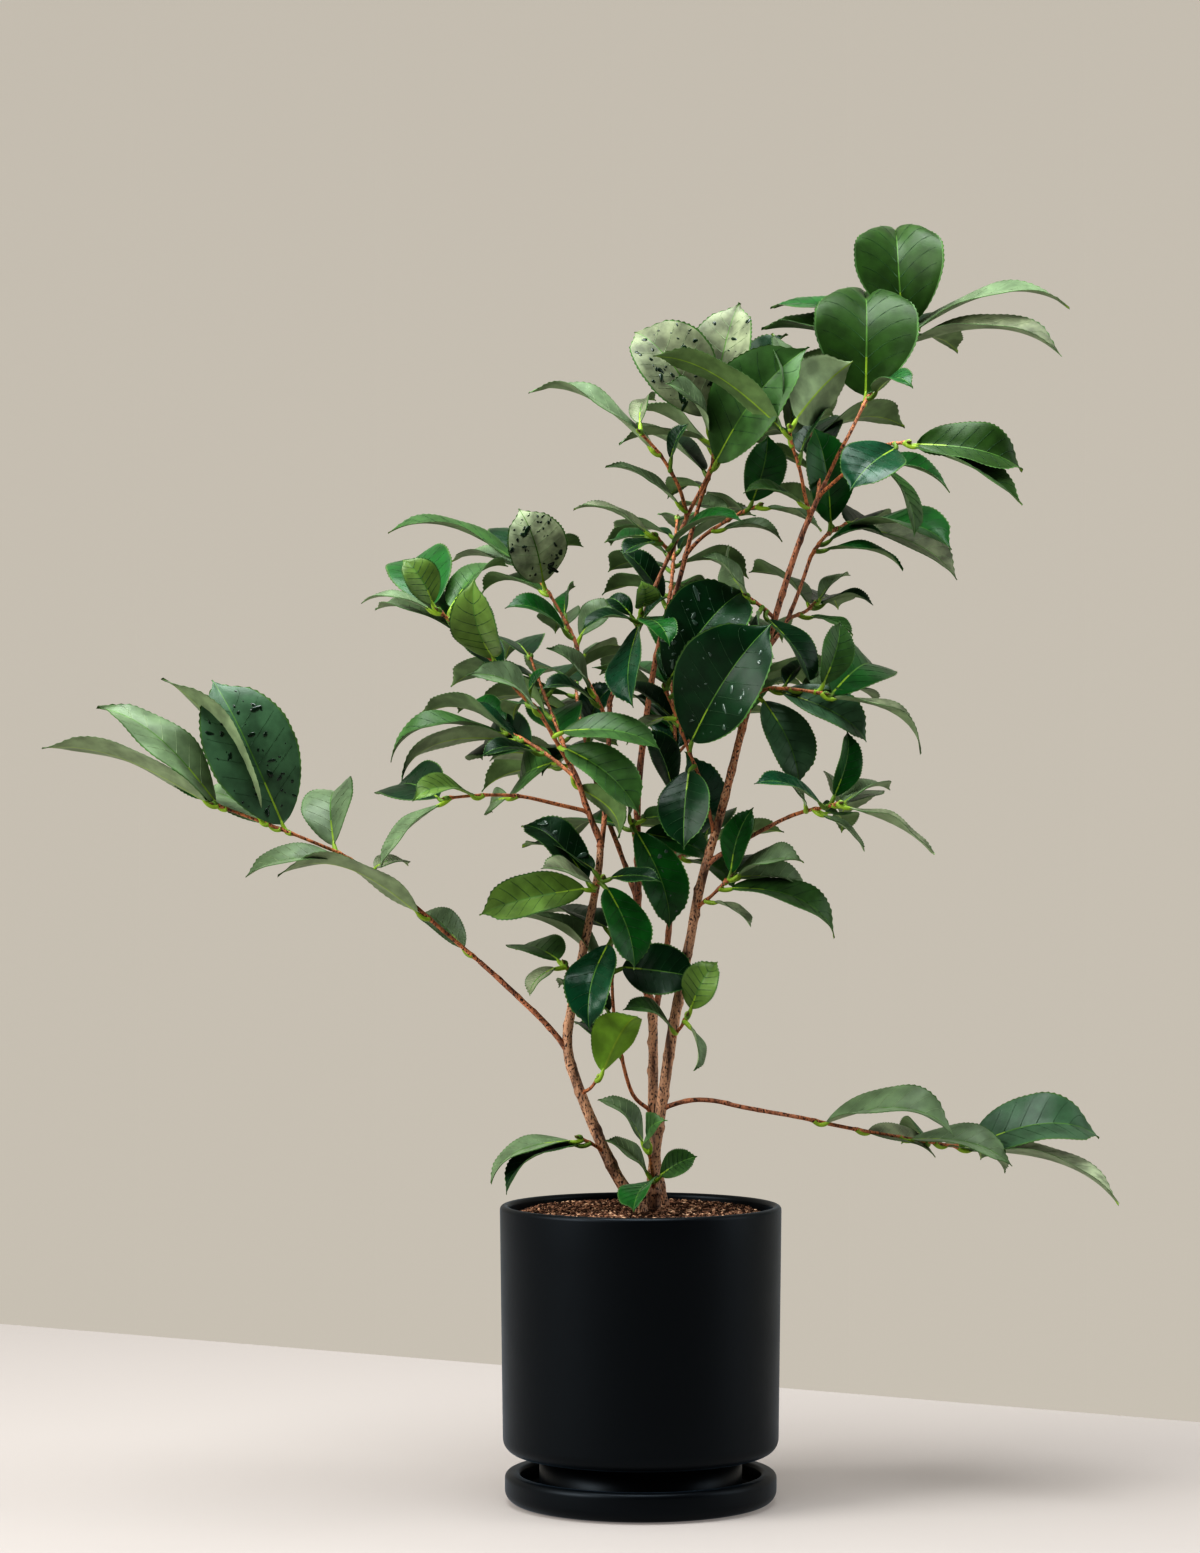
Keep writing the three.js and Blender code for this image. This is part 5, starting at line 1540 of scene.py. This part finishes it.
def light_scene():
    """A dim room, a broad window light from the left and softer panels above and right."""
    scene = bpy.context.scene
    scene.view_settings.view_transform = "Standard"
    scene.view_settings.look = "High Contrast"
    world = bpy.data.worlds.new("world")
    scene.world = world
    world.use_nodes = True
    air = world.node_tree.nodes["Background"].inputs
    air["Color"].default_value = (0.9, 0.95, 1, 1)
    air["Strength"].default_value = 0.05
    area_light("window", (-2.7, -1.4, 1.9), (0, 0, 0.45), (1.8, 2.3), 98, (1, 0.99, 0.97))
    area_light("right_panel", (2.0, -0.3, 1.0), (0, 0, 0.4), (0.9, 1.8), 12, (0.94, 0.97, 1))
    area_light("above", (-0.2, -0.3, 2.5), (0, 0, 0.4), (1.6, 1.3), 66, (0.95, 0.98, 1))


WALL = 7.0  # metres from the pot to the wall
WALL_PARTS = 36  # flat parts in half the wall
WALL_HEIGHTS = (-6, 12)
FLOOR = -0.0005


def flat(name, corners, made, faces=None):
    """A piece of the stage, one face unless more are given."""
    mesh = bpy.data.meshes.new(name)
    mesh.from_pydata(corners, [], faces or [tuple(range(len(corners)))])
    mesh.materials.append(made)
    piece = bpy.data.objects.new(name, mesh)
    bpy.context.scene.collection.objects.link(piece)


def build_stage():
    """A pale table top whose far edge runs aslant, and a greige wall all round it."""
    floor = material("stage_floor", (0.300, 0.278, 0.262), 0.8, Emission_Strength=1.0,
                     Emission_Color=(0.162, 0.150, 0.142, 1))
    wall = material("stage_wall", (0.2, 0.19, 0.17), 1.0, Emission_Strength=1.0,
                    Emission_Color=(0.365, 0.341, 0.303, 1))
    far, slope = 0.641, -0.5855  # the far edge's line: y = far + slope * x
    flat("floor", [(-WALL, -WALL, FLOOR), (WALL, -WALL, FLOOR),
                   (WALL, far + slope * WALL, FLOOR), (-WALL, far - slope * WALL, FLOOR)], floor)
    for name, start, end in (("wall_back", 0, 180), ("wall_front", 180, 360)):
        foot = arc((0, 0), WALL, start, end, WALL_PARTS)
        corners = [(x, y, z) for z in WALL_HEIGHTS for x, y in foot]
        over = len(foot)
        flat(name, corners, wall,
             [(k, k + 1, k + 1 + over, k + over) for k in range(WALL_PARTS)])
    below = [(x, y, WALL_HEIGHTS[0]) for x, y in arc((0, 0), WALL, 0, 355, 71)]
    flat("wall_foot", below, wall)
    front = bpy.data.objects["wall_front"]
    front.visible_diffuse = front.visible_glossy = front.visible_shadow = False


place_camera()
light_scene()
build_stage()
finish = make_materials()
limbs = grow_limbs()
masses = grow_masses(limbs)
build_plant(masses, finish)
build_limbs(limbs, finish)
build_pot(finish)
build_soil(finish)
